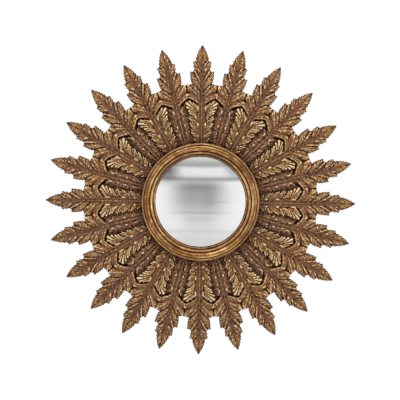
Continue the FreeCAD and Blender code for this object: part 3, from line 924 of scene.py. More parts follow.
@dataclass
class AcanthusLeaf:
    """One gilded acanthus leaf, modelled as reliefs on a fine grid and closed into a casting.

    Places are in millimetres: across from the midrib, along from the mirror's centre, and depths
    from the wall. The seam is the line half way to the next leaf. There the leaf ends in a skirt,
    under the skirt's neighbour in a slot, and under the raised lobes of a broad leaf in an apron
    whose upper edge is an arch.
    """

    kind: LeafKind
    chisel: Chisel = Chisel()
    rubbing: Rubbing = Rubbing()
    flat: FlatPart = FlatPart()
    raised: RaisedPart = RaisedPart()
    step: float = 0.7
    tip: float = 410.0
    root: float = 149.6
    half_span: float = 46.2
    half_turn: float = math.radians(7.5)
    seed: int = 7
    board_front: float = 16.0
    overhang: float = 300.0
    thickness: float = 3.2
    edge_thickness: float = 0.4
    tip_thickness: float = 1.5
    furthest_back: float = 9.0
    furthest_front: float = 40.6
    skirt: Pair = (272.0, 306.0)
    skirt_play: float = 0.03
    slot: float = 1.9
    slot_run: Pair = (283.0, 287.0)
    slot_lap: dict[LeafKind, float] = field(
        default_factory=lambda: {LeafKind.BROAD: 1.4, LeafKind.NARROW: -0.3})
    apron_root: float = 160.0
    apron_play: float = 0.3
    arch_foot: float = 252.6
    arch_across: float = 15.5
    arch_slope: float = 0.685
    arch_steep: float = 0.82
    buried: float = -5.0
    ground: dict[str, tuple[float, ...]] = field(default_factory=lambda: {
        "along": (149, 186, 243, 268, 300, 345, 385, 411),
        "middle": (7.0, 8.0, 9.5, 11.5, 12.0, 8.0, 2.4, -2.5),
        "crown": (8.0, 9.5, 11.0, 13.5, 14.0, 9.5, 3.4, -2.6),
        "edge": (4.5, 5.5, 6.5, 9.0, 8.0, 4.5, 0.5, -3.5),
        "half": (14, 18, 22, 40, 40, 28, 14, 5),
        "lift": (6.0, 11.0, 18.0, 18.6, 18.0, 18.0, 18.0, 18.0),
        "stem": (2.9, 2.8, 2.6, 2.3, 1.9, 1.4, 1.1, 0.8),
    })
    crown_share: float = 0.5
    edge_share: float = 1.2
    core_along: tuple[float, ...] = (149, 163, 186, 210, 235, 246, 250, 257, 271, 284, 300, 308, 338,
                                     344, 350, 365, 372, 378, 387, 398, 405, 410.5)
    core_roots: dict[LeafKind, tuple[float, ...]] = field(default_factory=lambda: {
        LeafKind.BROAD: (12, 16, 18, 18, 16), LeafKind.NARROW: (12, 17, 22, 25, 27)})
    core_rest: tuple[float, ...] = (11, 11, 13, 33, 30, 22, 22, 26, 21.0, 20.5, 20, 15.5, 14.6, 11.6,
                                    6.8, 3.8, 1.2)
    raised_along: tuple[float, ...] = (150, 160, 164, 170, 176, 182, 186, 192, 198, 201, 206, 214,
                                       221, 226, 234, 246, 250, 256)
    raised_core: tuple[float, ...] = (9, 14, 14, 20, 21, 20, 15, 20, 22, 18, 22, 27, 24, 28, 31, 22,
                                      12, -5)

    def __post_init__(self) -> None:
        """Lay out the grid that the leaf is carved on."""
        across = np.arange(-self.half_span, self.half_span + self.step, self.step)
        along = np.arange(self.root, self.tip + self.step, self.step)
        self.across, self.along = np.meshgrid(across, along, indexing="ij")
        self.away = np.abs(self.across)
        self.chance = np.random.default_rng(self.seed)

    def profile(self, name: str) -> np.ndarray:
        """Ground values of that name, over the grid."""
        return np.interp(self.along, self.ground["along"], self.ground[name])

    def nearest(self, path: np.ndarray) -> tuple[np.ndarray, np.ndarray]:
        """How the grid lies to a path.

        Args:
            path: points along it.

        Returns:
            The distance to the path, and the share of its length at the nearest point.
        """
        nearest = np.full(self.away.shape, np.inf)
        share = np.zeros(self.away.shape)
        for number, (first, second) in enumerate(zip(path[:-1], path[1:])):
            run = second - first
            part = ((self.away - first[0]) * run[0] + (self.along - first[1]) * run[1]) / (run @ run)
            part = np.clip(part, 0.0, 1.0)
            gap = np.hypot(self.away - first[0] - part * run[0], self.along - first[1] - part * run[1])
            closer = gap < nearest
            nearest = np.where(closer, gap, nearest)
            share = np.where(closer, (number + part) / (len(path) - 1), share)
        return nearest, share

    def finger(self, shape: Finger) -> Relief:
        """Carve one finger on both sides of the leaf.

        Args:
            shape: the finger.

        Returns:
            Its relief over the leaf's ground.
        """
        cut = self.chisel
        path = shape.path()
        nearest, share = self.nearest(path)
        width = shape.width * (shape.base + (1.0 - shape.base) * smooth_step(share, 0.0, cut.widest))
        narrowing = smooth_step(share, cut.taper_start - cut.taper_lead * shape.taper, 1.0)
        width = width * (1.0 - shape.taper * narrowing)
        off = nearest / width
        dome = np.clip(1.0 - off ** 2, 0.0, 1.0) ** cut.dome_power
        crest = np.clip(1.0 - off, 0.0, 1.0)
        rounded = cut.dome_share * dome + cut.crest_share * crest
        dish = shape.hollow * np.exp(-(off / cut.dish_width) ** 2) * smooth_step(share, *cut.dish_run)
        swell = cut.root_height + (1.0 - cut.root_height) * smooth_step(share, 0.0, cut.highest)
        length = np.hypot(*(path[1:] - path[:-1]).T).sum()
        beats = length / cut.beat_length * self.chance.uniform(*cut.beat_pace)
        beat = np.sin(2.0 * math.pi * (share * beats + self.chance.uniform())) * crest
        beat = beat * (1.0 - shape.hollow) * self.chance.uniform(*cut.beat_force)
        height = shape.crown * swell + shape.relief * (rounded * swell - cut.dish_depth * dish)
        height = height + cut.beat_height * beat
        # The tone paints more sheen towards the tip, glints on the beats' tops with darker dips between, a
        # highlight along the crest short of the tip, and a darker dish.
        tone = shape.sheen * smooth_step(share, *cut.sheen_run)
        tone = tone - cut.root_tone * (1.0 - smooth_step(share, 0.0, cut.root_run))
        tone = tone + self.chance.normal(0.0, cut.tone_spread) + cut.beat_glint * beat
        tone = tone + cut.belly_highlight * np.exp(-((share - cut.belly_place) / cut.belly_length) ** 2) * crest
        tone = tone - cut.dish_tone * dish
        inside = width - nearest
        height = np.where(inside > -self.step, height, -np.inf)
        return Relief(inside, height, tone, smooth_step(off, *cut.crease_run))

    def uneven(self) -> np.ndarray:
        """Small unevenness of hand carving, over the grid."""
        rough = blur(self.chance.normal(size=self.away.shape), self.chisel.uneven_size / self.step)
        return self.chisel.uneven_height * rough / rough.std()

    def carve(self, fingers: Iterable[Finger]) -> Relief:
        """Carve a set of fingers.

        Args:
            fingers: the fingers, in the order in which chance is drawn.

        Returns:
            Their relief.
        """
        whole = Relief.empty(self.away.shape)
        for shape in fingers:
            whole.add(self.finger(shape))
        return whole

    def ridge(self, middle: Any, width: Any, height: Any, sheen: float) -> Relief:
        """Carve a straight ridge beside or on the midrib.

        Args:
            middle: how far across it runs.
            width: its half width.
            height: its height.
            sheen: how bright its gilding is against the rest.

        Returns:
            Its relief.
        """
        off = np.abs(self.away - middle) / np.maximum(width, self.chisel.least_width)
        rounded = np.sqrt(np.clip(1.0 - off ** 2, 0.0, 1.0))
        there = off < self.chisel.ridge_reach
        return Relief(np.where(there, width * (1.0 - off), OUTSIDE),
                      np.where(there, height * rounded, -np.inf),
                      np.full(off.shape, sheen), smooth_step(off, *self.chisel.ridge_crease))

    def bead(self, drop: Drop) -> Relief:
        """Carve one bead on both sides of the leaf, tapering towards the ring.

        Args:
            drop: the bead.

        Returns:
            Its relief.
        """
        cut = self.chisel
        up = (self.along - drop.along) / drop.length
        width = drop.width * (1.0 - cut.bead_narrowing * np.clip(-up, -cut.bead_swelling, 1.0))
        off = np.hypot((self.away - drop.across) / width, up)
        rounded = np.sqrt(np.clip(1.0 - off ** 2, 0.0, 1.0))
        there = off < cut.bead_reach
        return Relief(np.where(there, drop.width * (1.0 - off), OUTSIDE),
                      np.where(there, drop.height * rounded, -np.inf),
                      np.full(off.shape, drop.sheen), smooth_step(off, *cut.bead_crease))

    def cuts(self, shapes: Iterable[Crease]) -> np.ndarray:
        """Cut a set of creases.

        Args:
            shapes: the creases.

        Returns:
            Their depth over the grid.
        """
        depth = np.zeros(self.away.shape)
        for crease in shapes:
            gap, part = self.nearest(np.array([crease.start, crease.end]))
            fade = crease.depth * (1.0 - self.chisel.crease_fade * part)
            depth = np.maximum(depth, fade * np.exp(-(gap / crease.width) ** 2))
        return depth

    def shell(self, inside: np.ndarray, front: np.ndarray, back: np.ndarray,
              values: dict[str, np.ndarray]) -> dict[str, Any]:
        """Close a relief into a solid.

        Args:
            inside: positive where there is material.
            front: depth of the front.
            back: depth of the back.
            values: numbers to carry, on the same grid.

        Returns:
            Its points in millimetres on a leaf that points up, its faces and its values.
        """
        slope = np.gradient(inside, self.step)
        steep = np.maximum(slope[0] ** 2 + slope[1] ** 2, LEAST_SLOPE)
        pull = np.where(inside < 0, -inside / steep, 0.0)
        shift = [np.clip(pull * part, -self.step, self.step) for part in slope]
        kept = inside > 0
        cells = kept[:-1, :-1] | kept[1:, :-1] | kept[1:, 1:] | kept[:-1, 1:]
        number = np.arange(inside.size).reshape(inside.shape)
        quads = np.stack([number[:-1, :-1][cells], number[1:, :-1][cells],
                          number[1:, 1:][cells], number[:-1, 1:][cells]], axis=1)
        used, quads = np.unique(quads, return_inverse=True)
        quads = quads.reshape(-1, 4)
        across = (self.across + shift[0]).ravel()[used]
        along = np.minimum((self.along + shift[1]).ravel()[used], self.tip)
        back = np.minimum(back, front - self.edge_thickness)
        points = np.concatenate([np.column_stack([across, along, side.ravel()[used]])
                                 for side in (front, back)])
        count = len(used)
        edges = np.concatenate([quads[:, [side, (side + 1) % 4]] for side in range(4)])
        keys = edges.min(axis=1).astype(np.int64) * count + edges.max(axis=1)
        _, first, repeats = np.unique(keys, return_index=True, return_counts=True)
        rim = edges[first[repeats == 1]]
        walls = np.column_stack([rim[:, 1], rim[:, 0], rim[:, 0] + count, rim[:, 1] + count])
        faces = np.concatenate([quads, quads[:, ::-1] + count, walls])
        carried = {key: np.tile(value.ravel()[used], 2) for key, value in values.items()}
        for key, bare in BACK_VALUES:
            carried[key][count:] = bare
        return {"points": points, "faces": faces, "values": carried}

    def base_outline(self, relief: Relief, seam: np.ndarray, slot: np.ndarray) -> np.ndarray:
        """Outline of the flat-lying part.

        Args:
            relief: its carved lobes.
            seam: distance to the seam.
            slot: how far from the seam the lobes end.

        Returns:
            Distance inside the outline.
        """
        core = self.core_roots[self.kind] + self.core_rest
        core = np.interp(self.along, self.core_along, core) - self.away
        proud = np.minimum(np.maximum(relief.inside, core), seam - slot)
        ends = np.minimum(self.along - self.skirt[0], self.skirt[1] - self.along)
        skirt = np.minimum(ends, seam - self.skirt_play)
        arch = self.arch_foot + self.arch_slope * (self.away - self.arch_across) - self.along
        apron = np.minimum(seam - self.apron_play, self.along - self.apron_root)
        apron = np.minimum(apron, arch * self.arch_steep)
        inside = np.maximum(np.maximum(proud, skirt), apron)
        if self.kind is LeafKind.NARROW:
            for across, along, radius in HOLES:
                inside = np.minimum(inside, np.hypot(self.away - across, self.along - along) - radius)
        return inside

    def base_ground(self) -> np.ndarray:
        """Raise the ground that the lobes lie on, with a crown on either side of the midrib.

        Returns:
            Its height over the board.
        """
        side = self.away / self.profile("half")
        middle = self.profile("middle")
        rise = middle + (self.profile("crown") - middle) * smooth_step(side, 0.0, self.crown_share)
        return rise + (self.profile("edge") - rise) * smooth_step(side, self.crown_share, self.edge_share)

    def base_shell(self) -> dict[str, Any]:
        """Carve the flat-lying part of the leaf, with the midrib and the outer lobes.

        Returns:
            Its shell.
        """
        part = self.flat
        broad = self.kind is LeafKind.BROAD
        lobes = OUTER_LOBES if broad else OUTER_LOBES + NARROW_LOBES
        relief = self.carve(shape for lobe in lobes for shape in lobe.fingers())
        seam = self.along * math.sin(self.half_turn) - self.away * math.cos(self.half_turn)
        slot = self.slot * smooth_step(self.along, *self.slot_run) - self.slot_lap[self.kind]
        inside = self.base_outline(relief, seam, slot)
        relief.height = np.where(seam > slot, relief.height, self.buried)
        stem = self.profile("stem")
        if broad:
            flutes = 1.0 - smooth_step(self.along, *part.flute_end)
            middle = np.interp(self.along, part.flute_along, part.flute_across)
            relief.add(self.ridge(middle, part.flute_width, part.flute_height * flutes, part.flute_sheen))
        else:
            for bead in NARROW_DROPS:
                relief.add(self.bead(bead))
        rise = part.stem_foot + stem * part.stem_rise
        relief.add(self.ridge(0.0, stem * part.stem_width, rise, part.stem_sheen))
        outer = smooth_step(self.along, *part.outer_run)
        drop = part.bed_drop * smooth_step(self.away, *part.bed_run) * (1.0 - outer)
        bed = np.where(seam > slot, part.bed - drop + part.outer_bed * outer, self.buried)
        height = np.maximum(relief.height, bed) - self.cuts(CREASES)
        relief.height = blur(height, part.softness) + self.uneven()
        front = self.board_front + self.base_ground() + relief.height
        under = np.maximum(self.board_front + self.profile("edge") - self.thickness, self.furthest_back)
        under = np.minimum(under, front - self.tip_thickness)
        back = np.where(self.along < self.overhang, self.board_front, under)
        # A narrow leaf's root is painted darker, as shade, where it lies under its neighbours' raised
        # lobes.
        if not broad:
            lee = smooth_step(self.away, *part.lee_across)
            lee = lee * (1.0 - smooth_step(self.along, *part.lee_along))
            relief.sheen = relief.sheen - part.lee_shade * lee
        values = self.paint(relief, inside, part.dirt_and_shade)
        values["plum"] = self.base_plum()
        return self.shell(inside, front, back, values)

    def base_plum(self) -> np.ndarray:
        """Let the bole show purple along the midrib, and on a narrow leaf's root.

        Returns:
            How purple it shows, from 0 to 1.
        """
        part = self.flat
        reach = np.interp(self.along, part.plum_along, part.plum_across)
        plum = part.plum * (1.0 - smooth_step(self.away, part.plum_start, reach))
        if self.kind is LeafKind.NARROW:
            root = 1.0 - smooth_step(self.along, *part.root_plum_run)
            plum = np.maximum(plum, part.root_plum * root)
        return plum * (1.0 - smooth_step(self.along, *part.plum_end))

    def raised_shell(self) -> dict[str, Any]:
        """Carve the curled lobes that stand proud of the leaf's lower half.

        Returns:
            Their shell.
        """
        part = self.raised
        fingers = [shape for lobe in BROAD_LOBES for shape in lobe.fingers()] + list(BROAD_FINGERS)
        relief = self.carve(fingers)
        for bead in BROAD_DROPS:
            relief.add(self.bead(bead))
        # The rim is painted brighter, as a highlight, on the side that faces the tip, and its creases are
        # darkened less there.
        slope = np.gradient(relief.inside, self.step)[1]
        facing = part.facing_least + (1.0 - part.facing_least) * smooth_step(-slope, *part.facing_run)
        rim = np.exp(-((relief.inside - part.rim_inside) / part.rim_width) ** 2)
        rim = rim * smooth_step(self.away, *part.rim_run)
        relief.sheen = relief.sheen + part.rim_sheen * rim * facing
        crease = relief.crease * (1.0 - part.rim_crease_fade * rim * facing)
        relief.crease = np.where(relief.inside < 0.0, 0.0, crease)
        height = np.maximum(relief.height, part.bed) + part.rim_height * rim - self.cuts(FAN_CREASES)
        relief.height = blur(height, part.softness) + part.unevenness * self.uneven()
        core = np.interp(self.along, self.raised_along, self.raised_core) - self.away
        inside = np.maximum(relief.inside, core)
        low = self.profile("middle") + part.foot
        lift = low + (self.profile("lift") - low) * smooth_step(self.away, *part.lift_run)
        lift = lift - part.droop * smooth_step(self.away, *part.droop_run)
        front = np.minimum(self.board_front + lift + relief.height, self.furthest_front)
        back = front - self.thickness - part.heel * (1.0 - smooth_step(self.away, *part.heel_run))
        values = self.paint(relief, inside, part.dirt_and_shade)
        values["plum"] = part.plum * (1.0 - smooth_step(relief.inside, *part.plum_run))
        values["ochre"] = part.ochre * smooth_step(relief.inside, *part.ochre_run)
        return self.shell(inside, front, back, values)

    def paint(self, relief: Relief, inside: np.ndarray, dirt_and_shade: float) -> dict[str, np.ndarray]:
        """Where the gilding wears, and where shade and highlights are painted, from the relief itself.

        Args:
            relief: height and sheen over the leaf's ground.
            inside: distance inside the outline.
            dirt_and_shade: how dark the creases between fingers are painted, partly base coat, partly
                shade.

        Returns:
            The ridge, glow and ochre values.
        """
        rub = self.rubbing
        fine = relief.height - blur(relief.height, rub.fine_reach / self.step)
        broad = relief.height - blur(relief.height, rub.broad_reach / self.step)
        end = smooth_step(self.along, *rub.tip_run)
        root = 1.0 - smooth_step(self.along, *rub.root_run)
        rim = (1.0 - smooth_step(inside, *rub.rim_reach)) * smooth_step(self.along, *rub.rim_run)
        rim = rim * (1.0 - rub.rim_fade * end)
        # The ridge value: rises lighter and hollows darker, partly as wear and the dark base coat and
        # partly as painted highlight and shade.
        ridge = rub.level + rub.fine * fine + rub.broad * broad + rub.sheen * relief.sheen
        # Painted darkening: shade along the outline's rim, where the teeth curve back, shade from the ring
        # at the roots, and a little towards the tip.
        ridge = ridge - rub.tip_darkening * end - rub.root_shade * root - rub.rim_shade * rim
        # Creases are painted darker, partly as the dark base coat and partly as shade.
        ridge = ridge - (dirt_and_shade + relief.sheen) * relief.crease * (1.0 - rim)
        ceiling = 1.0 + rub.dull * np.minimum(relief.sheen, 0.0)
        # The glow paints pale gold on the crests, partly as gilding and partly as painted highlight, and
        # less on the darkened rim, creases and roots.
        glow = smooth_step(fine, *rub.glow_heights) * (rub.glow + rub.glow_sheen * relief.sheen)
        glow = glow - rub.glow_rim * rim - rub.glow_crease * relief.crease - rub.glow_root * root
        return {"ridge": np.clip(np.minimum(ridge, ceiling), 0.0, 1.0), "glow": np.clip(glow, 0.0, 1.0),
                "ochre": end}

    def model(self) -> dict[str, Any]:
        """Carve the whole leaf.

        Returns:
            All its shells as one set of points, faces and values.
        """
        shells = [self.base_shell()]
        if self.kind is LeafKind.BROAD:
            shells.append(self.raised_shell())
        starts = np.cumsum([0] + [len(shell["points"]) for shell in shells])
        return {
            "points": np.concatenate([shell["points"] for shell in shells]),
            "faces": np.concatenate([shell["faces"] + start for shell, start in zip(shells, starts)]),
            "values": {key: np.concatenate([shell["values"][key] for shell in shells])
                       for key in shells[0]["values"]},
        }


@dataclass
class LeafWreath:
    """The leaves round the ring, a broad one at the top and then by turns."""

    pairs: int = 12
    finish: GiltFinish = GiltFinish("antique_gilt_leaf")

    def build(self) -> None:
        """Model both castings and set them round the mirror."""
        material = self.finish.material()
        models = {kind: AcanthusLeaf(kind).model() for kind in LeafKind}
        for number in range(2 * self.pairs):
            kind = LeafKind.NARROW if number % 2 else LeafKind.BROAD
            name = f"{kind.value}_{number // 2 + 1:02d}"
            self.place(models[kind], name, math.pi * number / self.pairs, material)

    def place(self, model: dict[str, Any], node: str, turn: float, material: bpy.types.Material) -> None:
        """Set one leaf at its angle.

        Args:
            model: points, faces and values of the casting.
            node: the node that it stands for.
            turn: angle clockwise from the top.
            material: the gilding.
        """
        across, along, depth = model["points"].T
        points = np.stack([
            across * math.cos(turn) + along * math.sin(turn),
            -depth,
            along * math.cos(turn) - across * math.sin(turn),
        ], axis=1) * MM
        leaf = add_mesh(f"carved_{node}", points, model["faces"], model["values"])
        install(leaf, material, "gilded_leaf", node)


# ---------------------------------------------------------------------------------- ring and glass


@dataclass(frozen=True)
class Reed:
    """One round bead of the ring: radius of its circle, half width and depth of its centre."""

    radius: float
    size: float
    depth: float


@dataclass
class ReededRing:
    """Cast ring with reeds that run round the glass, in millimetres.

    Groove, crest, flank and hidden are ridge values: the grooves are painted dark, partly as the
    dark base coat and partly as shade, and the crests light, partly as wear of the gilding and
    partly as painted highlight. Valley is the depth below the reeds at which the groove's is
    reached, and glow a painted glint along the top of each reed. Wobble lists height, waves round
    the ring and phase, and wear lists waves and strength.
    """

    reeds: tuple[Reed, ...] = (
        Reed(123.0, 2.2, 22.1), Reed(130.8, 4.4, 28.7), Reed(138.4, 3.6, 37.9),
        Reed(144.1, 2.9, 38.7), Reed(150.9, 3.9, 34.8),
    )
    sight: float = 120.1
    foot: float = 149.0
    rebate: float = 126.5
    board_front: float = 16.0
    lip_back: float = 21.15
    lip_front: float = 22.2
    turns: int = 360
    front_points: int = 150
    side_points: int = 6
    end_play: float = 0.02
    valley: float = 2.6
    groove: float = 0.14
    crest: float = 0.65
    flank: float = 0.30
    hidden: float = 0.12
    glow: float = 0.52
    glow_run: Pair = (0.94, 1.0)
    glow_wear: float = 4.0
    wobble: tuple[tuple[float, int, float], ...] = ((0.10, 7, 1.0), (0.07, 17, 2.4))
    wear: tuple[tuple[int, float], ...] = ((2, 0.07), (5, 0.07), (11, 0.06), (23, 0.05), (41, 0.04))
    rosy_radii: tuple[float, ...] = (132.5, 134.5, 147.6, 149.0)
    rosy: tuple[float, ...] = (0.9, 0.0, 0.0, 1.0)
    yellow: float = 0.25
    seed: int = 5
    finish: GiltFinish = GiltFinish(
        "antique_gold_ring", hollow=(0.035, 0.013, 0.004), shade=(0.110, 0.042, 0.012),
        body=(0.270, 0.112, 0.032), gold=(0.520, 0.255, 0.068), pale=(0.860, 0.555, 0.240),
        bole=(0.260, 0.085, 0.026), plum=(0.480, 0.285, 0.190), roughness=0.31, metallic=0.75,
        patch=0.030, wear=0.20, mottle=0.35)

    def front(self) -> tuple[np.ndarray, np.ndarray]:
        """Front of the section from the sight edge to the outside.

        Returns:
            Radius and depth of each point, and how high it stands on its reed, from 0 to 1.
        """
        outside = max(reed.radius + reed.size for reed in self.reeds)
        radii = np.linspace(self.sight, outside - self.end_play, self.front_points)
        depth = np.full(radii.shape, self.lip_front)
        for reed in self.reeds:
            away = np.clip(1.0 - ((radii - reed.radius) / reed.size) ** 2, 0.0, 1.0)
            top = np.where(away > 0, reed.depth + reed.size * np.sqrt(away), -1.0)
            depth = np.maximum(depth, top)
        level = np.interp(radii, [reed.radius for reed in self.reeds],
                          [reed.depth + reed.size for reed in self.reeds])
        sunk = np.clip((level - depth) / self.valley, 0.0, 1.0)
        return np.stack([radii, depth], axis=1), 1.0 - sunk

    def side(self) -> np.ndarray:
        """Outer side of the section, round the outer reed and down to its shoulder.

        Returns:
            Radius and depth of each point.
        """
        outer = self.reeds[-1]
        angles = np.linspace(0.0, -math.pi / 2, self.side_points + 1)[1:]
        return np.stack([outer.radius + outer.size * np.cos(angles),
                         outer.depth + outer.size * np.sin(angles)], axis=1)

    def streaks(self, turn: np.ndarray, radii: np.ndarray) -> np.ndarray:
        """Long uneven wear along each reed.

        Args:
            turn: angles round the ring.
            radii: radius of each point of the section.

        Returns:
            What the wear adds to the ridge value, angle by angle.
        """
        chance = np.random.default_rng(self.seed)
        nearest = np.abs(radii[:, None] - np.array([reed.radius for reed in self.reeds])).argmin(axis=1)
        wear = np.zeros((len(turn), len(radii)))
        for waves, strength in self.wear:
            phase = chance.uniform(0.0, 2.0 * math.pi, len(self.reeds))[nearest]
            wear += strength * np.sin(waves * turn[:, None] + phase[None, :])
        return wear

    def build(self) -> None:
        """Model the ring as a turned solid."""
        front, height = self.front()
        side = self.side()
        back = np.array([(self.foot, side[-1][1]), (self.foot, self.board_front),
                         (self.rebate, self.board_front), (self.rebate, self.lip_back),
                         (self.sight, self.lip_back)])
        section = np.concatenate([front, side, back])
        count = len(section)
        rest = np.zeros(len(side) + len(back))
        turn = np.linspace(0.0, 2 * math.pi, self.turns, endpoint=False)
        wobble = sum(high * np.sin(turn * waves + phase) for high, waves, phase in self.wobble)
        depth = section[:, 1][None, :] + wobble[:, None] * np.concatenate([height, rest])[None, :]
        points = np.stack([section[:, 0][None, :] * np.sin(turn)[:, None], -depth,
                           section[:, 0][None, :] * np.cos(turn)[:, None]], axis=2)
        faces = []
        for lap in range(self.turns):
            here = lap * count
            following = (lap + 1) % self.turns * count
            for step in range(count):
                other = (step + 1) % count
                faces.append((here + step, here + other, following + other, following + step))
        streaks = self.streaks(turn, section[:, 0])
        # Ridge values paint the grooves dark and the crests light, partly as shade and highlight; the glow
        # paints a glint along each reed's top.
        ridge = np.concatenate([self.groove + (self.crest - self.groove) * height,
                                np.full(len(side), self.flank), np.full(len(back), self.hidden)])
        glow = np.concatenate([smooth_step(height, *self.glow_run) * self.glow, rest])
        values = {
            "ridge": np.clip(ridge[None, :] + streaks, 0.0, 1.0).ravel(),
            "glow": np.clip(glow[None, :] * (1.0 + self.glow_wear * streaks), 0.0, 1.0).ravel(),
            "plum": np.tile(np.interp(section[:, 0], self.rosy_radii, self.rosy), self.turns),
            "ochre": np.full(self.turns * count, self.yellow),
        }
        ring = add_mesh("reeded_ring", points.reshape(-1, 3) * MM, faces, values)
        install(ring, self.finish.material(), "gilded_ring", "ring_frame")


@dataclass
class ConvexGlass:
    """Round convex glass with a ground edge, in millimetres."""

    radius: float = 125.0
    rise: float = 19.5
    thickness: float = 4.0
    edge_depth: float = 19.0
    bevel: float = 0.5
    rings: int = 72
    turns: int = 256
    finish: SilverFinish = SilverFinish("silvered_convex_glass")

    def depth(self, radius: float) -> float:
        """Depth of the front at a distance from the middle."""
        sphere = (self.radius ** 2 + self.rise ** 2) / (2 * self.rise)
        return self.edge_depth + self.rise - sphere + math.sqrt(sphere ** 2 - radius ** 2)

    def build(self) -> None:
        """Model the dome, its back and its edge."""
        radii = [self.radius * (number / self.rings) for number in range(1, self.rings)]
        radii.append(self.radius - self.bevel)
        front = [(radius, self.depth(radius)) for radius in radii]
        rim = [(self.radius, self.edge_depth - self.bevel),
               (self.radius, self.edge_depth - self.thickness + self.bevel)]
        back = [(radius, depth - self.thickness) for radius, depth in reversed(front)]
        section = front + rim + back
        points = [(0.0, -self.depth(0.0), 0.0)]
        for radius, depth in section:
            points.extend((radius * math.sin(turn), -depth, radius * math.cos(turn))
                          for turn in np.linspace(0.0, 2 * math.pi, self.turns, endpoint=False))
        points.append((0.0, -self.depth(0.0) + self.thickness, 0.0))
        last = len(points) - 1
        faces = []
        for lap in range(self.turns):
            following = (lap + 1) % self.turns
            faces.append((0, 1 + following, 1 + lap))
            for number in range(len(section) - 1):
                inner = 1 + number * self.turns
                outer = inner + self.turns
                faces.append((inner + lap, inner + following, outer + following, outer + lap))
            end = 1 + (len(section) - 1) * self.turns
            faces.append((end + lap, end + following, last))
        glass = add_mesh("convex_glass", np.array(points) * MM, faces)
        install(glass, self.finish.material(), "silvered_glass", "mirror_glass")


# ------------------------------------------------------------------------------- board and fittings


@dataclass
class Fittings:
    """Board, cover, packing, fasteners and hangers, which keep their own shapes."""

    board: PaintFinish = PaintFinish(
        "dark_painted_board", (0.006, 0.003, 0.002), (0.030, 0.018, 0.012), roughness=0.75)
    cover: PaintFinish = PaintFinish(
        "plain_hardboard", (0.110, 0.058, 0.030), (0.240, 0.140, 0.075), 0.0012, 0.04, roughness=0.62)
    packing: PaintFinish = PaintFinish(
        "grey_packing_card", (0.20, 0.16, 0.12), (0.36, 0.30, 0.23), roughness=0.9)
    rubber: PaintFinish = PaintFinish(
        "soft_black_rubber", (0.012, 0.012, 0.012), (0.028, 0.027, 0.026), 0.0008, 0.008, roughness=0.8)
    zinc: MetalFinish = MetalFinish("zinc_plate", (0.56, 0.57, 0.58), (0.30, 0.30, 0.29))
    brass: MetalFinish = MetalFinish("brass_plate", (0.62, 0.46, 0.22), (0.30, 0.20, 0.09), 0.26)

    def dress(self) -> None:
        """Give every carried-over node its finish."""
        buttons = [f"turn_button_{number}" for number in range(1, 5)]
        hangers = [f"hanger_{part}_{side}" for part in ("strap", "ring") for side in ("left", "right")]
        screws = ["leaf_screws", "ring_screws", "turn_button_screws", "hanger_screws"]
        for finish, names in (
            (self.board, ["backboard"]), (self.cover, ["back_cover"]), (self.packing, ["glass_packing"]),
            (self.rubber, ["wall_bumpers"]), (self.zinc, screws), (self.brass, buttons + hangers),
        ):
            material = finish.material()
            for name in names:
                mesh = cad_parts[name].data
                mesh.materials.clear()
                mesh.materials.append(material)
                log.info("%s dressed in %s", name, finish.name)


# ------------------------------------------------------------------------------------------ studio


@dataclass(frozen=True)
class Panel:
    """Soft panel lamp aimed at the mirror: its place and size in metres, power in watts and colour."""

    name: str
    place: tuple[float, float, float]
    size: Pair
    power: float
    colour: Colour


@dataclass(frozen=True)
class Shade:
    """Soft grey patch of the studio as reflections show it: its place, reach, tone and share."""

    across: float
    level: float
    width: float
    tall: float
    tone: float
    share: float


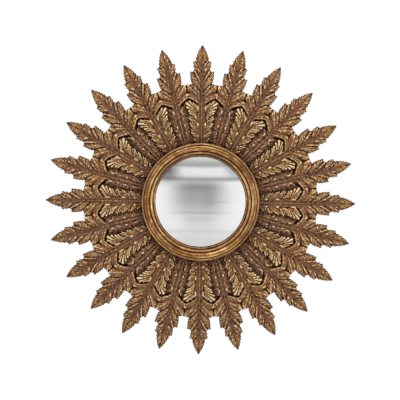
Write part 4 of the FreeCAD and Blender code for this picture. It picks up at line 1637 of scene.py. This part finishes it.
@dataclass
class Studio:
    """Camera, lamps, white room and floor round the mirror.

    Pixels are those of the photograph, lengths are in metres and angles in degrees. Walls lists
    the tone that reflections show by how far up they look, from -1 below to 1 above.
    """

    picture: int = 400
    centre_pixel: Pair = (200.47, 201.60)
    tip_pixels: float = 154.47
    tip_radius: float = 0.410
    tip_depth: float = 0.0125
    distance: float = 1.6
    raised: float = 3.2
    roll: float = 0.753
    sensor: float = 36.0
    sight_end: float = 50.0
    panels: tuple[Panel, ...] = (
        Panel("key_panel", (-0.5, -1.9, 2.5), (1.6, 0.9), 30.0, (1.0, 0.98, 0.95)),
        Panel("side_panel", (2.4, -1.6, 0.5), (0.9, 1.4), 9.0, (1.0, 0.98, 0.96)),
        Panel("back_panel", (-1.2, 2.4, 1.2), (1.4, 1.4), 14.0, (1.0, 1.0, 1.0)),
    )
    glow: float = 0.56
    walls: tuple[Pair, ...] = (
        (-1.0, 0.60), (-0.64, 0.72), (-0.50, 0.86), (-0.46, 0.78), (-0.42, 0.94), (-0.10, 1.05),
        (0.225, 1.00), (0.250, 0.62), (0.268, 0.42), (0.282, 0.48), (0.305, 0.84), (0.335, 0.98),
        (0.390, 0.94), (0.425, 0.84), (0.447, 0.50), (0.467, 0.44), (0.505, 0.52), (0.543, 0.72),
        (0.750, 0.60), (1.0, 0.55),
    )
    shadows: tuple[Shade, ...] = (
        Shade(0.00, -0.36, 0.42, 0.36, 0.66, 0.60), Shade(-0.03, 0.03, 0.54, 0.40, 0.18, 0.88),
        Shade(-0.03, 0.155, 0.44, 0.12, 0.14, 0.75), Shade(0.11, 0.00, 0.15, 0.20, 0.22, 0.50),
        Shade(0.00, 0.00, 0.80, 0.45, 0.65, 0.40),
        Shade(-0.02, -0.205, 0.50, 0.035, 0.42, 0.55), Shade(0.08, -0.05, 0.46, 0.025, 0.42, 0.45),
        Shade(-0.54, 0.38, 0.34, 0.26, 0.12, 0.95), Shade(0.56, 0.45, 0.30, 0.24, 0.14, 0.90),
        Shade(-0.02, -0.30, 0.30, 0.06, 0.48, 0.30),
    )
    shade_core: float = 0.2
    floor_height: float = -0.80
    floor_reach: float = 30.0
    floor_tone: float = 0.80

    def build(self) -> None:
        """Set up the whole studio."""
        self.camera()
        for panel in self.panels:
            self.lamp(panel)
        self.room()
        self.floor()
        bpy.context.scene.view_settings.view_transform = "Standard"

    def camera(self) -> None:
        """Place the camera so that the mirror lies in the picture as in the photograph."""
        lens = bpy.data.cameras.new("camera")
        camera = bpy.data.objects.new("camera", lens)
        bpy.context.scene.collection.objects.link(camera)
        rise = math.radians(self.raised)
        eye = Vector((0.0, -self.distance * math.cos(rise), self.distance * math.sin(rise)))
        look = Matrix.Rotation(math.radians(90) - rise, 4, "X")
        tilt = Matrix.Rotation(math.radians(self.roll), 4, "Z")
        camera.matrix_world = Matrix.Translation(eye) @ look @ tilt
        lens.sensor_width = self.sensor
        away = self.distance - self.tip_depth
        lens.lens = self.tip_pixels / self.picture * self.sensor * away / self.tip_radius
        half = self.picture / 2
        lens.shift_x = (half - self.centre_pixel[0]) / self.picture
        lens.shift_y = (self.centre_pixel[1] - half) / self.picture
        lens.clip_end = self.sight_end
        bpy.context.scene.camera = camera

    def lamp(self, panel: Panel) -> None:
        """Hang one panel lamp and aim it at the mirror.

        Args:
            panel: its name, place, size, power and colour.
        """
        light = bpy.data.lights.new(panel.name, "AREA")
        light.shape = "RECTANGLE"
        light.size, light.size_y = panel.size
        light.energy = panel.power
        light.color = panel.colour
        lamp = bpy.data.objects.new(panel.name, light)
        lamp.location = panel.place
        lamp.rotation_euler = (-Vector(panel.place)).to_track_quat("-Z", "Y").to_euler()
        bpy.context.scene.collection.objects.link(lamp)

    def room(self) -> None:
        """World: white to the camera, a banded studio in reflections and a soft glow elsewhere."""
        world = bpy.data.worlds.new("studio")
        bpy.context.scene.world = world
        graph = Graph(world)
        toward = graph.node("ShaderNodeTexCoord", {}, {}, "Generated")
        side = graph.node("ShaderNodeSeparateXYZ", {}, {"Vector": toward}, "X")
        up = graph.split(side, "Z")
        stops = tuple((0.5 + 0.5 * place, (tone,) * 3) for place, tone in self.walls)
        walls = graph.ramp(up * 0.5 + 0.5, stops)
        for shade in self.shadows:
            beside = 1 - abs(side - shade.across).between(shade.width * self.shade_core, shade.width)
            level = 1 - abs(up - shade.level).between(0.0, shade.tall)
            walls = graph.mix(beside * level * shade.share, walls, (shade.tone,) * 3)
        glossy = graph.node("ShaderNodeLightPath", {}, {}, "Is Glossy Ray")
        camera = graph.split(glossy, "Is Camera Ray")
        soft = graph.node("ShaderNodeBackground", {}, {"Color": (self.glow,) * 3, "Strength": 1.0})
        seen = graph.node("ShaderNodeBackground", {}, {"Color": walls, "Strength": 1.0})
        white = graph.node("ShaderNodeBackground", {}, {"Color": (1.0, 1.0, 1.0), "Strength": 1.0})
        room = graph.node("ShaderNodeMixShader", {}, {0: glossy, 1: soft, 2: seen})
        room = graph.node("ShaderNodeMixShader", {}, {0: camera, 1: room, 2: white})
        graph.show(room, "ShaderNodeOutputWorld")

    def floor(self) -> None:
        """Plain pale floor well below the mirror, white where the camera sees it."""
        reach = self.floor_reach
        corners = np.array([(x * reach, y * reach, self.floor_height)
                            for x, y in ((-1, -1), (1, -1), (1, 1), (-1, 1))])
        floor = add_mesh("floor", corners, [(0, 1, 2, 3)], smooth=False)
        graph = Graph.material("pale_floor")
        matt = graph.node("ShaderNodeBsdfDiffuse", {}, {"Color": (self.floor_tone,) * 3})
        white = graph.node("ShaderNodeEmission", {}, {"Color": (1.0, 1.0, 1.0), "Strength": 1.0})
        camera = graph.node("ShaderNodeLightPath", {}, {}, "Is Camera Ray")
        seen = graph.node("ShaderNodeMixShader", {}, {0: camera, 1: matt, 2: white})
        floor.data.materials.append(graph.show(seen, "ShaderNodeOutputMaterial"))
        floor.visible_glossy = False


def main() -> None:
    """Build the mirror and its studio."""
    LeafWreath().build()
    ReededRing().build()
    ConvexGlass().build()
    Fittings().dress()
    Studio().build()


if __name__ == "__main__":
    main()
